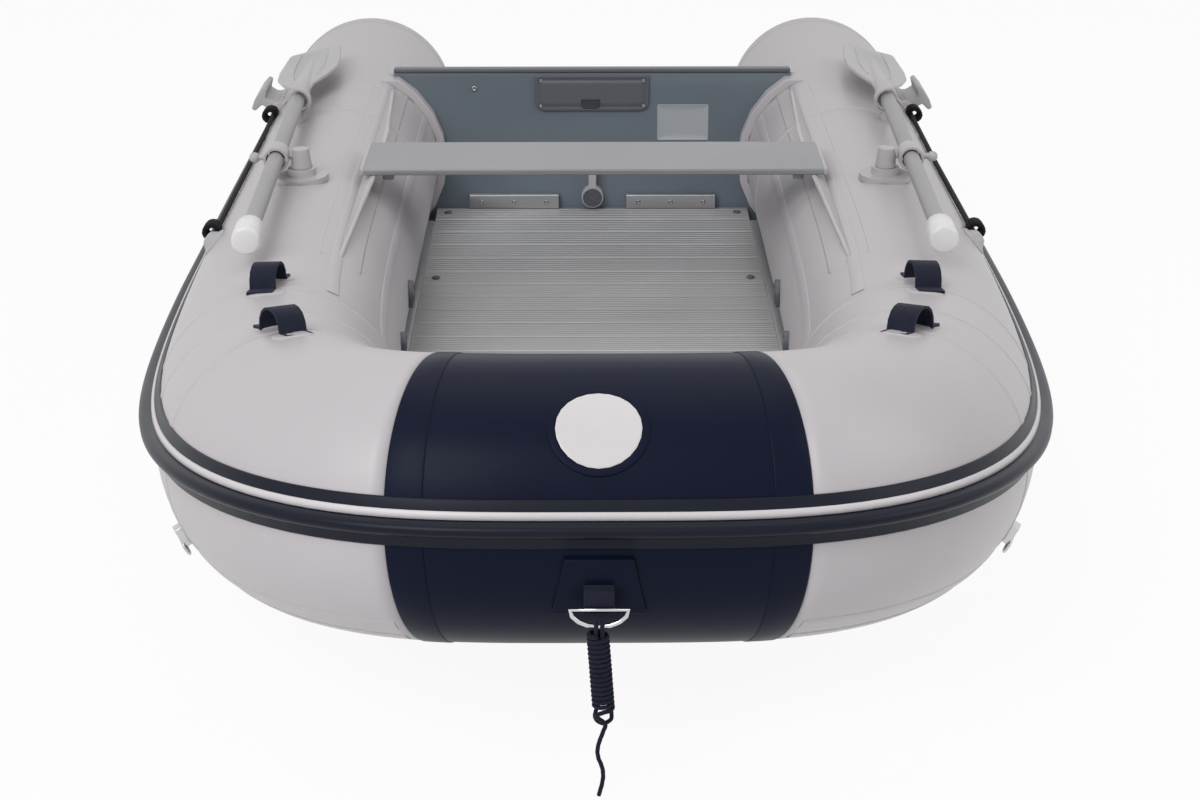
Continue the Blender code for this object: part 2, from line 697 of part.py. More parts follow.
def make_seat():
    """Seat rails on the tubes, and the bench that slides on them with its clamps."""
    bench_bottom = BENCH_TOP - BENCH_THICKNESS
    foot_angle = math.acos((RAIL_FOOT_X - TUBE_SPREAD) / TUBE_RADIUS)
    foot_z = TUBE_RADIUS + TUBE_RADIUS * math.sin(foot_angle)
    rail_height = (bench_bottom - GAP - foot_z) / math.cos(RAIL_LEAN)
    length = RAIL_END - RAIL_START
    sink = TUBE_RADIUS * 0.15
    taper = length * RAIL_TAPER / 1.2
    profile = [(0, -sink), (length, -sink), (length, RAIL_THICKNESS), (length - taper, rail_height),
               (taper, rail_height), (0, RAIL_THICKNESS)]
    for side in (-1, 1):
        rail = as_mesh(outline("seat_rail_" + side_name(side), profile, RAIL_THICKNESS / 2))
        lean = Matrix.Rotation(-side * RAIL_LEAN, 4, "Y")
        stand = Matrix(((0, 0, 1, 0), (1, 0, 0, 0), (0, 1, 0, 0), (0, 0, 0, 1)))
        place = Matrix.Translation((side * RAIL_FOOT_X, RAIL_START, foot_z))
        rail.matrix_world = place @ lean @ stand
        lid = box("rail_lid_" + side_name(side), (TUBE_RADIUS, length * 1.2, TUBE_RADIUS),
                  (side * RAIL_FOOT_X, (RAIL_START + RAIL_END) / 2,
                   bench_bottom - GAP + TUBE_RADIUS / 2))
        combine(seat_on_tube(rail), adopt_cutter(lid))
        adopt(rail, "pvc_grey")

    bench = bpy.data.objects.new("bench_axis", None)
    boat_parts.objects.link(bench)
    bench.parent = boat_origin
    bench.location = (0, BENCH_Y, bench_bottom)
    board = box("bench_board", (BENCH_LENGTH + 2 * BENCH_CAP, BENCH_WIDTH, BENCH_THICKNESS),
                (0, 0, BENCH_THICKNESS / 2))
    adopt(bevel(board, BENCH_THICKNESS / 6), "aluminium", bench)
    tip_x = RAIL_FOOT_X - rail_height * math.sin(RAIL_LEAN)
    for side in (-1, 1):
        clamp_x = side * (tip_x - RAIL_THICKNESS - CLAMP_CLEARANCE - CLAMP_WIDTH / 2)
        clamp = box("bench_clamp_" + side_name(side), (CLAMP_WIDTH, CLAMP_LENGTH, CLAMP_HEIGHT),
                    (clamp_x, 0, -GAP - CLAMP_HEIGHT / 2))
        adopt(bevel(clamp, CLAMP_WIDTH / 8), "grey_plastic", bench)


def u_outline(inner, wall, lip):
    """A U lying on its side: an inner half circle with straight lips towards +X."""
    outer = inner + wall
    turns = [math.pi / 2 + math.pi * n / 10 for n in range(11)]
    inside = [(inner * math.cos(t), inner * math.sin(t)) for t in turns]
    outside = [(outer * math.cos(t), outer * math.sin(t)) for t in turns]
    return [(lip, inner)] + inside + [(lip, -inner), (lip, -outer)] + outside[::-1] + [(lip, outer)]


def blade_outline():
    """Half-symmetric outline of the oar blade from its neck (y = 0) to its tip."""
    half_shares = ((0.0, 0.26), (0.12, 0.34), (0.26, 0.72), (0.42, 0.97), (0.60, 1.0),
                   (0.80, 0.93), (0.97, 0.86), (1.0, 0.80))
    right = [(BLADE_WIDTH / 2 * across, BLADE_LENGTH * along) for along, across in half_shares]
    left = [(-x, y) for x, y in reversed(right)]
    return right + left


def make_oar(side):
    """One oar on its swivel, with the socket and the clip that hold it on the tube."""
    name = side_name(side)
    start = Vector(mirrored(side, OAR_START))
    tip = Vector(mirrored(side, OAR_TIP))
    length = (tip - start).length
    along = (tip - start).normalized()
    level = along.cross(Vector((0, 0, 1))).normalized()
    above = level.cross(along)
    turn = Matrix((level, along, above)).transposed()
    pivot_share = (OAR_PIVOT_Y - start.y) / (tip.y - start.y)
    crossing = start + (tip - start) * pivot_share

    lock_angle = math.acos((LOCK_X - TUBE_SPREAD) / TUBE_RADIUS)
    foot = on_side_tube(side, OAR_PIVOT_Y, lock_angle, TUBE_RADIUS)
    upright = section_turn(side, lock_angle)
    normal = upright @ Vector((0, 0, 1))

    plate_centre = foot + normal * (LOCK_PLATE_THICKNESS / 2 - LOCK_PLATE_THICKNESS / 4)
    plate = cylinder("oarlock_socket_" + name, LOCK_PLATE_RADIUS, LOCK_PLATE_THICKNESS * 1.5,
                     plate_centre, upright, sides=16)
    boss = cylinder("oarlock_boss_" + name, LOCK_BOSS_RADIUS, LOCK_BOSS_HEIGHT,
                    foot + normal * LOCK_BOSS_HEIGHT / 2, upright, sides=16)
    combine(plate, adopt_cutter(boss), "UNION")
    adopt(smooth(seat_on_tube(plate)), "grey_plastic")

    axis = bpy.data.objects.new("oar_%s_axis" % name, None)
    boat_parts.objects.link(axis)
    axis.parent = boat_origin
    head_foot = foot + normal * (LOCK_BOSS_HEIGHT + GAP)
    axis.location = head_foot
    axis.rotation_euler = upright.to_euler()
    bpy.context.view_layer.update()
    to_axis = axis.matrix_local.inverted()

    def on_oar(distance, aside=0.0, up=0.0):
        """A point at a distance along the oar from its grip end, beside it and above it."""
        return start + along * distance + level * aside + above * up

    def place(obj, centre, rotation):
        obj.matrix_world = to_axis @ (Matrix.Translation(centre) @ rotation.to_4x4())
        return obj

    head_top = (crossing - head_foot).dot(normal) + HEAD_DOME
    head_height = head_top
    head = cylinder("oar_pin_" + name, HEAD_RADIUS, head_height, (0, 0, head_height / 2), sides=16,
                    top_radius=HEAD_RADIUS * 0.8)
    pin_start = head_foot + normal * (head_top - HEAD_DOME)
    reach = crossing - pin_start
    outward = reach.normalized()
    bore_start = crossing - outward * (COLLAR_RADIUS + GAP)
    pin_length = (bore_start - pin_start).length
    pin_turn = outward.to_track_quat("Z", "Y").to_matrix()
    pin = cylinder("oar_pin_rod_" + name, PIN_RADIUS, pin_length, (0, 0, 0), sides=10)
    pin.matrix_world = Matrix.Translation((pin_start + bore_start) / 2) @ pin_turn.to_4x4()
    adopt_cutter(pin)
    pin.matrix_world = Matrix.Translation((pin_start + bore_start) / 2) @ pin_turn.to_4x4()
    combine(head, pin, "UNION")
    adopt(head, "grey_plastic", axis)

    distance = (crossing - start).length
    flat = Matrix.Rotation(-math.pi / 2, 3, "X")
    round_turn = turn @ flat
    collar = cylinder("oar_collar_" + name, COLLAR_RADIUS, COLLAR_LENGTH, (0, 0, 0), sides=16)
    bore = cylinder("collar_bore_" + name, OAR_RADIUS + GAP, COLLAR_LENGTH + OVERRUN, (0, 0, 0), sides=16)
    adopt_cutter(bore)
    bore.matrix_world = Matrix.Translation(on_oar(distance)) @ round_turn.to_4x4()
    combine(collar, bore)
    knob_centre = crossing + outward * (COLLAR_RADIUS + KNOB_STEM + KNOB_RADIUS * 0.8)
    stem_centre = crossing + outward * (COLLAR_RADIUS + KNOB_STEM / 2)

    def ball(shape):
        bmesh.ops.create_uvsphere(shape, u_segments=10, v_segments=6, radius=KNOB_RADIUS)
    knob = new_mesh_object("oar_knob_" + name, ball)
    adopt_cutter(smooth(knob))
    knob.matrix_world = Matrix.Translation(knob_centre) @ pin_turn.to_4x4()
    stem_length = KNOB_STEM + COLLAR_RADIUS / 4
    stem = cylinder("knob_stem_" + name, PIN_RADIUS, stem_length, (0, 0, 0), sides=10)
    adopt_cutter(stem)
    stem.matrix_world = Matrix.Translation(stem_centre) @ pin_turn.to_4x4()
    combine(combine(collar, stem, "UNION"), knob, "UNION")
    adopt(place(collar, on_oar(distance), round_turn), "grey_plastic", axis)

    blade_start = length - BLADE_LENGTH
    shaft_start = OAR_GRIP_LENGTH + GAP
    shaft_end = blade_start - NECK_LENGTH - GAP
    shaft_length = shaft_end - shaft_start
    shaft = cylinder("oar_shaft_" + name, OAR_RADIUS, shaft_length, (0, 0, 0), sides=16)
    adopt(place(shaft, on_oar((shaft_start + shaft_end) / 2), round_turn), "aluminium", axis)
    grip = cylinder("oar_grip_" + name, OAR_GRIP_RADIUS, OAR_GRIP_LENGTH, (0, 0, 0), sides=16)
    bevel(grip, OAR_GRIP_RADIUS / 5)
    adopt(place(grip, on_oar(OAR_GRIP_LENGTH / 2), round_turn), "white_plastic", axis)

    roll = turn @ Matrix.Rotation(side * BLADE_ROLL, 3, "Y")
    blade = as_mesh(outline("oar_blade_" + name, blade_outline(), BLADE_THICKNESS / 2))
    ridge_places = [(0, -NECK_LENGTH, 0), (0, 0, 0), (0, BLADE_LENGTH * 0.35, 0), (0, BLADE_LENGTH * 0.85, 0)]
    ridge = rod("blade_ridge_" + name, ridge_places, OAR_RADIUS * 1.15, 12, [1.0, 0.95, 0.6, 0.22])
    ridge = adopt_cutter(as_mesh(ridge))
    ridge.matrix_world = Matrix.Translation(on_oar(blade_start)) @ roll.to_4x4()
    combine(blade, ridge, "UNION")
    adopt(place(smooth(blade), on_oar(blade_start), roll), "grey_plastic", axis)

    clip_share = (CLIP_Y - start.y) / (tip.y - start.y)
    clip_centre = start + (tip - start) * clip_share
    inner = OAR_RADIUS + CLIP_CLEARANCE
    clip_profile = [(side * x, y) for x, y in u_outline(inner, CLIP_WALL, CLIP_LIP)]
    clip = as_mesh(outline("oar_clip_" + name, clip_profile, CLIP_WIDTH / 2))
    clip.matrix_world = Matrix.Translation(clip_centre) @ Matrix.Rotation(math.pi / 2, 4, "X")
    stand_height = TUBE_RADIUS / 2
    stand_top = clip_centre.z - inner - CLIP_WALL / 2
    stand = box("clip_stand_" + name, (CLIP_FOOT, CLIP_WIDTH, stand_height),
                (clip_centre.x - side * CLIP_FOOT / 4, clip_centre.y, stand_top - stand_height / 2))
    combine(clip, adopt_cutter(stand), "UNION")
    adopt(smooth(seat_on_tube(clip)), "grey_plastic")


def arch_outline():
    """Side view of a webbing handle: two flat feet and an arch between them."""
    half = STRAP_LENGTH / 2
    knee = half - STRAP_FOOT
    steps = [math.pi * n / 8 for n in range(9)]
    low = [(-knee * math.cos(t), STRAP_RISE * math.sin(t) ** 0.8) for t in steps]
    top = [(-(knee + STRAP_THICKNESS) * math.cos(t),
            (STRAP_RISE + STRAP_THICKNESS) * math.sin(t) ** 0.8) for t in steps]
    top[0] = (top[0][0], STRAP_THICKNESS)
    top[-1] = (top[-1][0], STRAP_THICKNESS)
    sink = STRAP_FOOT / 2
    left_foot = [(-knee, -sink), (-half, -sink), (-half, STRAP_THICKNESS)]
    right_foot = [(half, STRAP_THICKNESS), (half, -sink), (knee, -sink)]
    return low + right_foot[::-1] + top[::-1] + left_foot[::-1]


def make_strap(name, side, x, y, turn):
    """One carrying handle that stands as an arch on the bow shoulder."""
    strap = as_mesh(outline(name, arch_outline(), STRAP_WIDTH / 2))
    angle = math.acos(min(1.0, (x - tube_x_at(y)) / TUBE_RADIUS))
    foot = on_side_tube(side, y, angle, TUBE_RADIUS)
    slope_y = (tube_height(y + GAP) - tube_height(y - GAP)) / (2 * GAP)
    pitch = Matrix.Rotation(math.atan(slope_y), 4, "X")
    upright = section_turn(side, angle).to_4x4()
    heading = Matrix.Rotation(side * turn, 4, "Z")
    fore_aft = Matrix(((0, 0, 1, 0), (1, 0, 0, 0), (0, 1, 0, 0), (0, 0, 0, 1)))
    strap.matrix_world = Matrix.Translation(foot) @ upright @ pitch @ heading @ fore_aft
    adopt(seat_on_tube(strap), "webbing")


def handle_outline():
    """Section of a moulded side handle: a foot, a neck and a flared grip."""
    base = HANDLE_BASE / 2
    neck = HANDLE_NECK / 2
    cap = HANDLE_CAP / 2
    sink = HANDLE_BASE / 4
    top = HANDLE_REACH
    return [(-base, -sink), (base, -sink), (base, HANDLE_WALL / 2), (neck * 1.6, HANDLE_WALL),
            (neck, HANDLE_WALL * 2), (neck, top - HANDLE_WALL * 2), (cap, top - HANDLE_WALL * 1.4),
            (cap, top - HANDLE_WALL * 0.4), (neck, top), (-neck, top), (-cap, top - HANDLE_WALL * 0.4),
            (-cap, top - HANDLE_WALL * 1.4), (-neck, top - HANDLE_WALL * 2),
            (-neck, HANDLE_WALL * 2), (-neck * 1.6, HANDLE_WALL), (-base, HANDLE_WALL / 2)]


def make_side_fittings(side):
    """Carrying handles, moulded handle, lifeline with its two holders, and air valve."""
    name = side_name(side)
    make_strap("carry_strap_rear_" + name, side, REAR_STRAP_X, REAR_STRAP_Y, REAR_STRAP_TURN)
    make_strap("carry_strap_front_" + name, side, FRONT_STRAP_X, FRONT_STRAP_Y, FRONT_STRAP_TURN)

    handle = as_mesh(outline("side_handle_" + name, handle_outline(), HANDLE_LENGTH / 2))
    foot = on_side_tube(side, HANDLE_Y, HANDLE_ANGLE, TUBE_RADIUS)
    upright = section_turn(side, HANDLE_ANGLE).to_4x4()
    stand = Matrix.Rotation(math.pi / 2, 4, "X")
    handle.matrix_world = Matrix.Translation(foot) @ upright @ stand
    adopt(seat_on_tube(handle), "grey_plastic")

    rope_distance = TUBE_RADIUS + LINE_ROPE_RADIUS + 2 * GAP
    rope = [on_side_tube(side, LINE_START + (LINE_END - LINE_START) * n / 4, LINE_ANGLE, rope_distance)
            for n in range(5)]
    line = as_mesh(rod("lifeline_" + name, rope, LINE_ROPE_RADIUS, 8))
    for y in (LINE_START, LINE_END):
        pad_foot = on_side_tube(side, y, LINE_ANGLE, TUBE_RADIUS - HOLDER_PAD_HEIGHT)
        turn = section_turn(side, LINE_ANGLE)
        outward = turn @ Vector((0, 0, 1))
        pad = cylinder("line_holder_%s_%d" % (name, round(y * 100)), HOLDER_PAD_RADIUS,
                       2 * HOLDER_PAD_HEIGHT, pad_foot + outward * HOLDER_PAD_HEIGHT, turn,
                       sides=16, top_radius=HOLDER_PAD_RADIUS * 0.55)
        combine(line, adopt_cutter(pad), "UNION")
    adopt(smooth(seat_on_tube(line)), "rope")

    inward = section_turn(side, math.pi)
    centre = on_side_tube(side, VALVE_Y, math.pi, TUBE_RADIUS)
    valve = cylinder("air_valve_" + name, VALVE_RADIUS, 2 * VALVE_STAND, centre, inward, sides=16)
    adopt(smooth(seat_on_tube(valve)), "dark_plastic")


def d_ring_path(half_width, depth):
    """Centre line of a D ring: a straight bar on y = 0 and a half round towards -Y."""
    steps = [math.pi * n / 8 for n in range(9)]
    return [(half_width * math.cos(t), -depth * math.sin(t), 0) for t in steps]


def make_ring(name, foot, outward, half_width, depth, wire, tab_width, in_tab=False):
    """A webbing tab on the tube and the D ring that it holds, apart or as one piece."""
    sideways = outward.cross(Vector((0, 0, 1))).normalized()
    down = sideways.cross(outward).normalized()
    if down.z > 0:
        down = -down
    turn = Matrix((sideways, down, outward)).transposed()
    tab = box(name + "_tab", (tab_width, TAB_LENGTH, TAB_THICKNESS * 2), foot, turn)
    stand = 0 if in_tab else wire + 2 * GAP
    place = foot + outward * (TAB_THICKNESS + stand) + down * TAB_LENGTH * RING_SEAT_SHARE
    drop = down if in_tab else Vector((0, 0, -1))
    ring = rod(name, d_ring_path(half_width, depth), wire, 8, closed=True)
    ring_turn = Matrix((sideways, -drop, sideways.cross(-drop))).transposed()
    ring.matrix_world = Matrix.Translation(place) @ ring_turn.to_4x4()
    ring = as_mesh(ring)
    if in_tab:
        combine(ring, adopt_cutter(tab), "UNION")
        seat_on_tube(ring)
    else:
        adopt(seat_on_tube(tab), "webbing")
    adopt(smooth(ring), "steel")


def make_bow_fittings():
    """The bow patch, tab and ring, and a smaller ring at each corner of the bow."""
    bow_centre = Vector((0, 0, tube_height(0)))
    ahead = Vector((0, -1, 0))
    outward = (math.cos(PATCH_ANGLE) * ahead + math.sin(PATCH_ANGLE) * Vector((0, 0, 1)))
    foot = bow_centre + outward * TUBE_RADIUS
    sideways = Vector((1, 0, 0))
    up = outward.cross(sideways)
    turn = Matrix((sideways, up, outward)).transposed()
    half_top = PATCH_TOP_WIDTH / 2
    half_foot = PATCH_FOOT_WIDTH / 2
    half = PATCH_HEIGHT / 2
    shape = [(-half_foot, -half), (half_foot, -half), (half_top, half), (-half_top, half)]
    if up.z < 0:
        shape = [(x, -y) for x, y in shape][::-1]
    patch = as_mesh(outline("bow_patch", shape, PATCH_THICKNESS * 2.5))
    patch.matrix_world = Matrix.Translation(foot - outward * PATCH_THICKNESS * 1.5) @ turn.to_4x4()
    adopt(seat_on_tube(patch), "pvc_navy")
    downward = up if up.z < 0 else -up
    tab_foot = foot + outward * (PATCH_THICKNESS + GAP + TAB_THICKNESS) + downward * TAB_DROP
    make_ring("bow_ring", tab_foot, outward, RING_HALF_WIDTH, RING_DEPTH, RING_WIRE, TAB_WIDTH)
    for side in (-1, 1):
        y = SIDE_RING_PLACE
        x = tube_x_at(y)
        step = GAP
        slope = Vector((tube_x_at(y + step) - tube_x_at(y - step), 2 * step, 0)).normalized()
        out = Vector((slope.y, -slope.x, 0))
        corner_out = math.cos(SIDE_RING_ANGLE) * out + math.sin(SIDE_RING_ANGLE) * Vector((0, 0, 1))
        corner_out = Vector(mirrored(side, corner_out))
        corner = Vector((side * x, y, tube_height(y))) + corner_out * (TUBE_RADIUS + TAB_THICKNESS / 2)
        make_ring("corner_ring_" + side_name(side), corner, corner_out, SIDE_RING_HALF_WIDTH,
                  SIDE_RING_DEPTH, SIDE_RING_WIRE, SIDE_TAB_WIDTH, in_tab=True)


def make_painter():
    """The painter: a wound hank that hangs from the bow ring, and its tail down to the ground."""
    hank = as_mesh(rod("painter_hank", [HANK_TOP, HANK_FOOT], HANK_RADIUS, 12))
    adopt(smooth(hank), "rope")
    tail = as_mesh(rod("painter_tail", TAIL_POINTS, ROPE_RADIUS, 8))
    adopt(smooth(tail), "rope")


def centre_the_boat():
    """Move the boat so that its own origin is at the bottom centre of its box, painter aside."""
    bpy.context.view_layer.update()
    graph = bpy.context.evaluated_depsgraph_get()
    low = np.full(3, np.inf)
    high = np.full(3, -np.inf)
    for obj in boat_parts.objects:
        if obj.type != "MESH" or obj.name.startswith("painter"):
            continue
        ready = obj.evaluated_get(graph)
        corners = np.array([ready.matrix_world @ vertex.co for vertex in ready.data.vertices])
        low = np.minimum(low, corners.min(axis=0))
        high = np.maximum(high, corners.max(axis=0))
    middle = (low + high) / 2
    boat_origin.location = (-middle[0], -middle[1], -low[2])
    bpy.context.view_layer.update()


make_tubes()
make_strake()
make_bottom()
make_floor()
make_transom()
make_seat()
make_oar(-1)
make_oar(1)
make_side_fittings(-1)
make_side_fittings(1)
make_bow_fittings()
make_painter()
centre_the_boat()
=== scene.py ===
"""Finish of the inflatable boat: its coated fabric, rubber, aluminium, plastics and rope."""
import math

import bmesh
import bpy
import numpy as np
from mathutils import Matrix, Vector


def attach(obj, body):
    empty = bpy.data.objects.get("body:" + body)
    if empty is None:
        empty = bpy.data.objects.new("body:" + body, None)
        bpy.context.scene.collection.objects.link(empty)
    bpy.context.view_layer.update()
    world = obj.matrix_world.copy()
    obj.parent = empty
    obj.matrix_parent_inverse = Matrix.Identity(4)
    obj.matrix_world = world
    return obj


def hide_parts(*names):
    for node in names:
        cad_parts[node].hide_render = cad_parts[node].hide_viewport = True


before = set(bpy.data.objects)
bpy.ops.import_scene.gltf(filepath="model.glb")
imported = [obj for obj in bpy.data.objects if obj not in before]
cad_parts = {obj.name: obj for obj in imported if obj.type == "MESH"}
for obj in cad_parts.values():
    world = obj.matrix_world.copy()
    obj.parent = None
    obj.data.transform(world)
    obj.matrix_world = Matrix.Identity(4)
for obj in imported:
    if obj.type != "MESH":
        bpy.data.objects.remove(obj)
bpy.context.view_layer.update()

# Camera, floor and studio light.
# The boat stands on a pale floor under broad soft lamps; the camera looks down on the bow from
# standing height. Distances along the boat are measured from the bow tube's centre line.
BOW_LINE_Y = -1.4521
CAMERA_PLACE = (-0.018, BOW_LINE_Y - 3.0056, 1.6863)
CAMERA_DOWN = math.radians(21.6439)
CAMERA_YAW = math.radians(0.3936)
LENS_MM = 68.545
FLOOR_REACH = 30.0
FLOOR_GLOW = 0.93
SKY_TO_OBJECTS = 0.32
LAMP_AIM = Vector((0, -0.3, 0.2))

camera_data = bpy.data.cameras.new("camera")
camera_data.lens = LENS_MM
camera_data.sensor_width = 36.0
camera_data.clip_end = 100.0
camera = bpy.data.objects.new("camera", camera_data)
camera.location = CAMERA_PLACE
camera.rotation_euler = (math.pi / 2 - CAMERA_DOWN, 0.0, -CAMERA_YAW)
bpy.context.scene.collection.objects.link(camera)
bpy.context.scene.camera = camera
bpy.context.scene.view_settings.view_transform = "Standard"


def linear(code):
    """An sRGB hex code as linear red, green, blue and full alpha."""
    parts = [int(code[n:n + 2], 16) / 255 for n in (0, 2, 4)]
    return tuple(((c + 0.055) / 1.055) ** 2.4 if c > 0.04045 else c / 12.92 for c in parts) + (1.0,)


def add(tree, kind, settings=None, **links):
    """Add a node; links give each input a value or another node's output socket."""
    node = tree.nodes.new(kind)
    for key, value in (settings or {}).items():
        setattr(node, key, value)
    for key, value in links.items():
        socket = node.inputs[int(key[1:])] if key[0] == "i" and key[1:].isdigit() else \
            node.inputs[key.replace("_", " ")]
        if isinstance(value, bpy.types.NodeSocket):
            tree.links.new(value, socket)
        else:
            socket.default_value = value
    return node


def new_material(name):
    """An empty material, its tree and its shader."""
    made = bpy.data.materials.new(name)
    made.use_nodes = True
    return made, made.node_tree, made.node_tree.nodes["Principled BSDF"]


def scaled(base, share):
    """A linear colour made darker or lighter, with full alpha."""
    return tuple(min(1.0, c * share) for c in base[:3]) + (1.0,)


def two_tones(tree, shader, factor, dark, light):
    """The shader's base colour, mixed from two colours by another node's output."""
    tone = add(tree, "ShaderNodeMix", {"data_type": "RGBA"}, Factor=factor, i6=dark, i7=light)
    tree.links.new(tone.outputs[2], shader.inputs["Base Color"])


def link_object(name, mesh, finish):
    """A new object in the scene with one material."""
    obj = bpy.data.objects.new(name, mesh)
    bpy.context.scene.collection.objects.link(obj)
    if finish is not None:
        mesh.materials.clear()
        mesh.materials.append(finish)
    return obj


def backdrop_colour(tree, shader):
    """White to the camera and to reflections, and a plain grey that takes shadows to the lamps."""
    path = add(tree, "ShaderNodeLightPath")
    seen = add(tree, "ShaderNodeMath", {"operation": "MAXIMUM"}, i0=path.outputs["Is Camera Ray"],
               i1=path.outputs["Is Glossy Ray"])
    share = add(tree, "ShaderNodeMath", {"operation": "MULTIPLY"}, i0=seen.outputs[0],
                i1=FLOOR_GLOW)
    glow = add(tree, "ShaderNodeEmission", Color=(1, 1, 1, 1), Strength=1.0)
    mix = add(tree, "ShaderNodeMixShader", i0=share.outputs[0], i1=shader.outputs[0],
              i2=glow.outputs[0])
    tree.links.new(mix.outputs[0], tree.nodes["Material Output"].inputs[0])


floor_finish, floor_tree, floor_shader = new_material("matt_white_floor")
floor_shader.inputs["Base Color"].default_value = linear("F4F4F5")
floor_shader.inputs["Roughness"].default_value = 0.9
backdrop_colour(floor_tree, floor_shader)
floor_mesh = bpy.data.meshes.new("studio_floor")
floor_mesh.from_pydata([(-FLOOR_REACH, -FLOOR_REACH, 0), (FLOOR_REACH, -FLOOR_REACH, 0),
                        (FLOOR_REACH, FLOOR_REACH, 0), (-FLOOR_REACH, FLOOR_REACH, 0)],
                       [], [(0, 1, 2, 3)])
link_object("studio_floor", floor_mesh, floor_finish)

world = bpy.data.worlds.new("studio")
bpy.context.scene.world = world
world.use_nodes = True
sky = world.node_tree.nodes["Background"]
sky_path = add(world.node_tree, "ShaderNodeLightPath")
sky_seen = add(world.node_tree, "ShaderNodeMath", {"operation": "MAXIMUM"},
               i0=sky_path.outputs["Is Camera Ray"], i1=sky_path.outputs["Is Glossy Ray"])
sky_level = add(world.node_tree, "ShaderNodeMapRange", i0=sky_seen.outputs[0], i3=SKY_TO_OBJECTS,
                i4=1.0)
world.node_tree.links.new(sky_level.outputs[0], sky.inputs["Strength"])
sky.inputs["Color"].default_value = (1, 1, 1, 1)

LAMPS = (("key_lamp", (-2.6, -4.8, 4.4), 3.4, 190.0), ("side_lamp", (4.4, -1.6, 3.0), 3.0, 45.0),
         ("top_lamp", (0.0, 0.6, 5.0), 4.0, 42.0))
for lamp_name, lamp_place, lamp_size, lamp_power in LAMPS:
    lamp_data = bpy.data.lights.new(lamp_name, "AREA")
    lamp_data.size = lamp_size
    lamp_data.energy = lamp_power
    lamp = bpy.data.objects.new(lamp_name, lamp_data)
    lamp.location = lamp_place
    aim = LAMP_AIM - Vector(lamp_place)
    lamp.rotation_euler = aim.to_track_quat("-Z", "Y").to_euler()
    bpy.context.scene.collection.objects.link(lamp)

# Painter: the bow's mooring rope.
# Three-strand navy polyester laid rope, limp, wound into a hank that hangs from the bow ring; its
# bare end reaches the floor.
ROPE_RADIUS = 0.00325
WRAP_RADIUS = 0.0130
WRAPS = 16
WRAP_POINTS = 20
HANK_TOP = Vector((-0.002, BOW_LINE_Y - 0.224, 0.2395))
HANK_FOOT = Vector((0.006, BOW_LINE_Y - 0.228, 0.1265))
RING_BAR = Vector((0.0, BOW_LINE_Y - 0.2244, 0.2497))
RING_WIRE = 0.0035
ROPE_LAY = 0.034
STRAIGHT_LAY = 50.0
TAIL_LEAVE = 0.010
HITCH_SPREAD = 0.0042
HITCH_HALF = 0.0035
HITCH_FOOT = -0.045
HITCH_SIDE = -0.016
TAIL_POINTS = ((0.0080, -0.2294, 0.1020), (0.0060, -0.2302, 0.0920),
               (0.0025, -0.2310, 0.0820), (-0.0010, -0.2316, 0.0710), (-0.0025, -0.2320, 0.0600),
               (-0.0010, -0.2322, 0.0490), (0.0030, -0.2322, 0.0380), (0.0052, -0.2330, 0.0275),
               (0.0050, -0.2348, 0.0175), (0.0032, -0.2385, 0.0090), (0.0010, -0.2450, 0.0045),
               (-0.0006, -0.2540, 0.0036))


def smooth_path(points, steps):
    """A Catmull-Rom curve through the points."""
    points = [np.array(p, float) for p in points]
    points = [2 * points[0] - points[1]] + points + [2 * points[-1] - points[-2]]
    path = []
    for a, b, c, d in zip(points, points[1:], points[2:], points[3:]):
        for n in range(steps):
            t = n / steps
            path.append(0.5 * (2 * b + (c - a) * t + (2 * a - 5 * b + 4 * c - d) * t * t
                               + (3 * b - a - 3 * c + d) * t ** 3))
    return path + [points[-2]]


def laid_rope(name, runs, radius, finish, strands=3, sides=9, lay=ROPE_LAY):
    """Mesh of one or more runs of laid rope, with its strands' grooves twisting along it."""
    shape = bmesh.new()
    for path in runs:
        path = [Vector(p) for p in path]
        side = None
        travelled = 0.0
        rings = []
        for n, place in enumerate(path):
            ahead = (path[min(n + 1, len(path) - 1)] - path[max(n - 1, 0)]).normalized()
            if side is None:
                side = ahead.orthogonal().normalized()
            side = (side - ahead * side.dot(ahead)).normalized()
            across = ahead.cross(side)
            if n:
                travelled += (place - path[n - 1]).length
            ring = []
            for k in range(sides):
                turn = 2 * math.pi * k / sides
                groove = abs(math.sin(strands / 2 * (turn - 2 * math.pi * travelled / lay)))
                reach = radius * (0.84 + 0.16 * groove ** 0.6)
                ring.append(shape.verts.new(place + reach * (math.cos(turn) * side
                                                             + math.sin(turn) * across)))
            rings.append(ring)
        for near, far in zip(rings, rings[1:]):
            for k in range(sides):
                shape.faces.new((near[k], near[(k + 1) % sides], far[(k + 1) % sides], far[k]))
        shape.faces.new(rings[0][::-1])
        shape.faces.new(rings[-1])
    bmesh.ops.recalc_face_normals(shape, faces=shape.faces)
    mesh = bpy.data.meshes.new(name)
    shape.to_mesh(mesh)
    shape.free()
    mesh.shade_smooth()
    return link_object(name, mesh, finish)


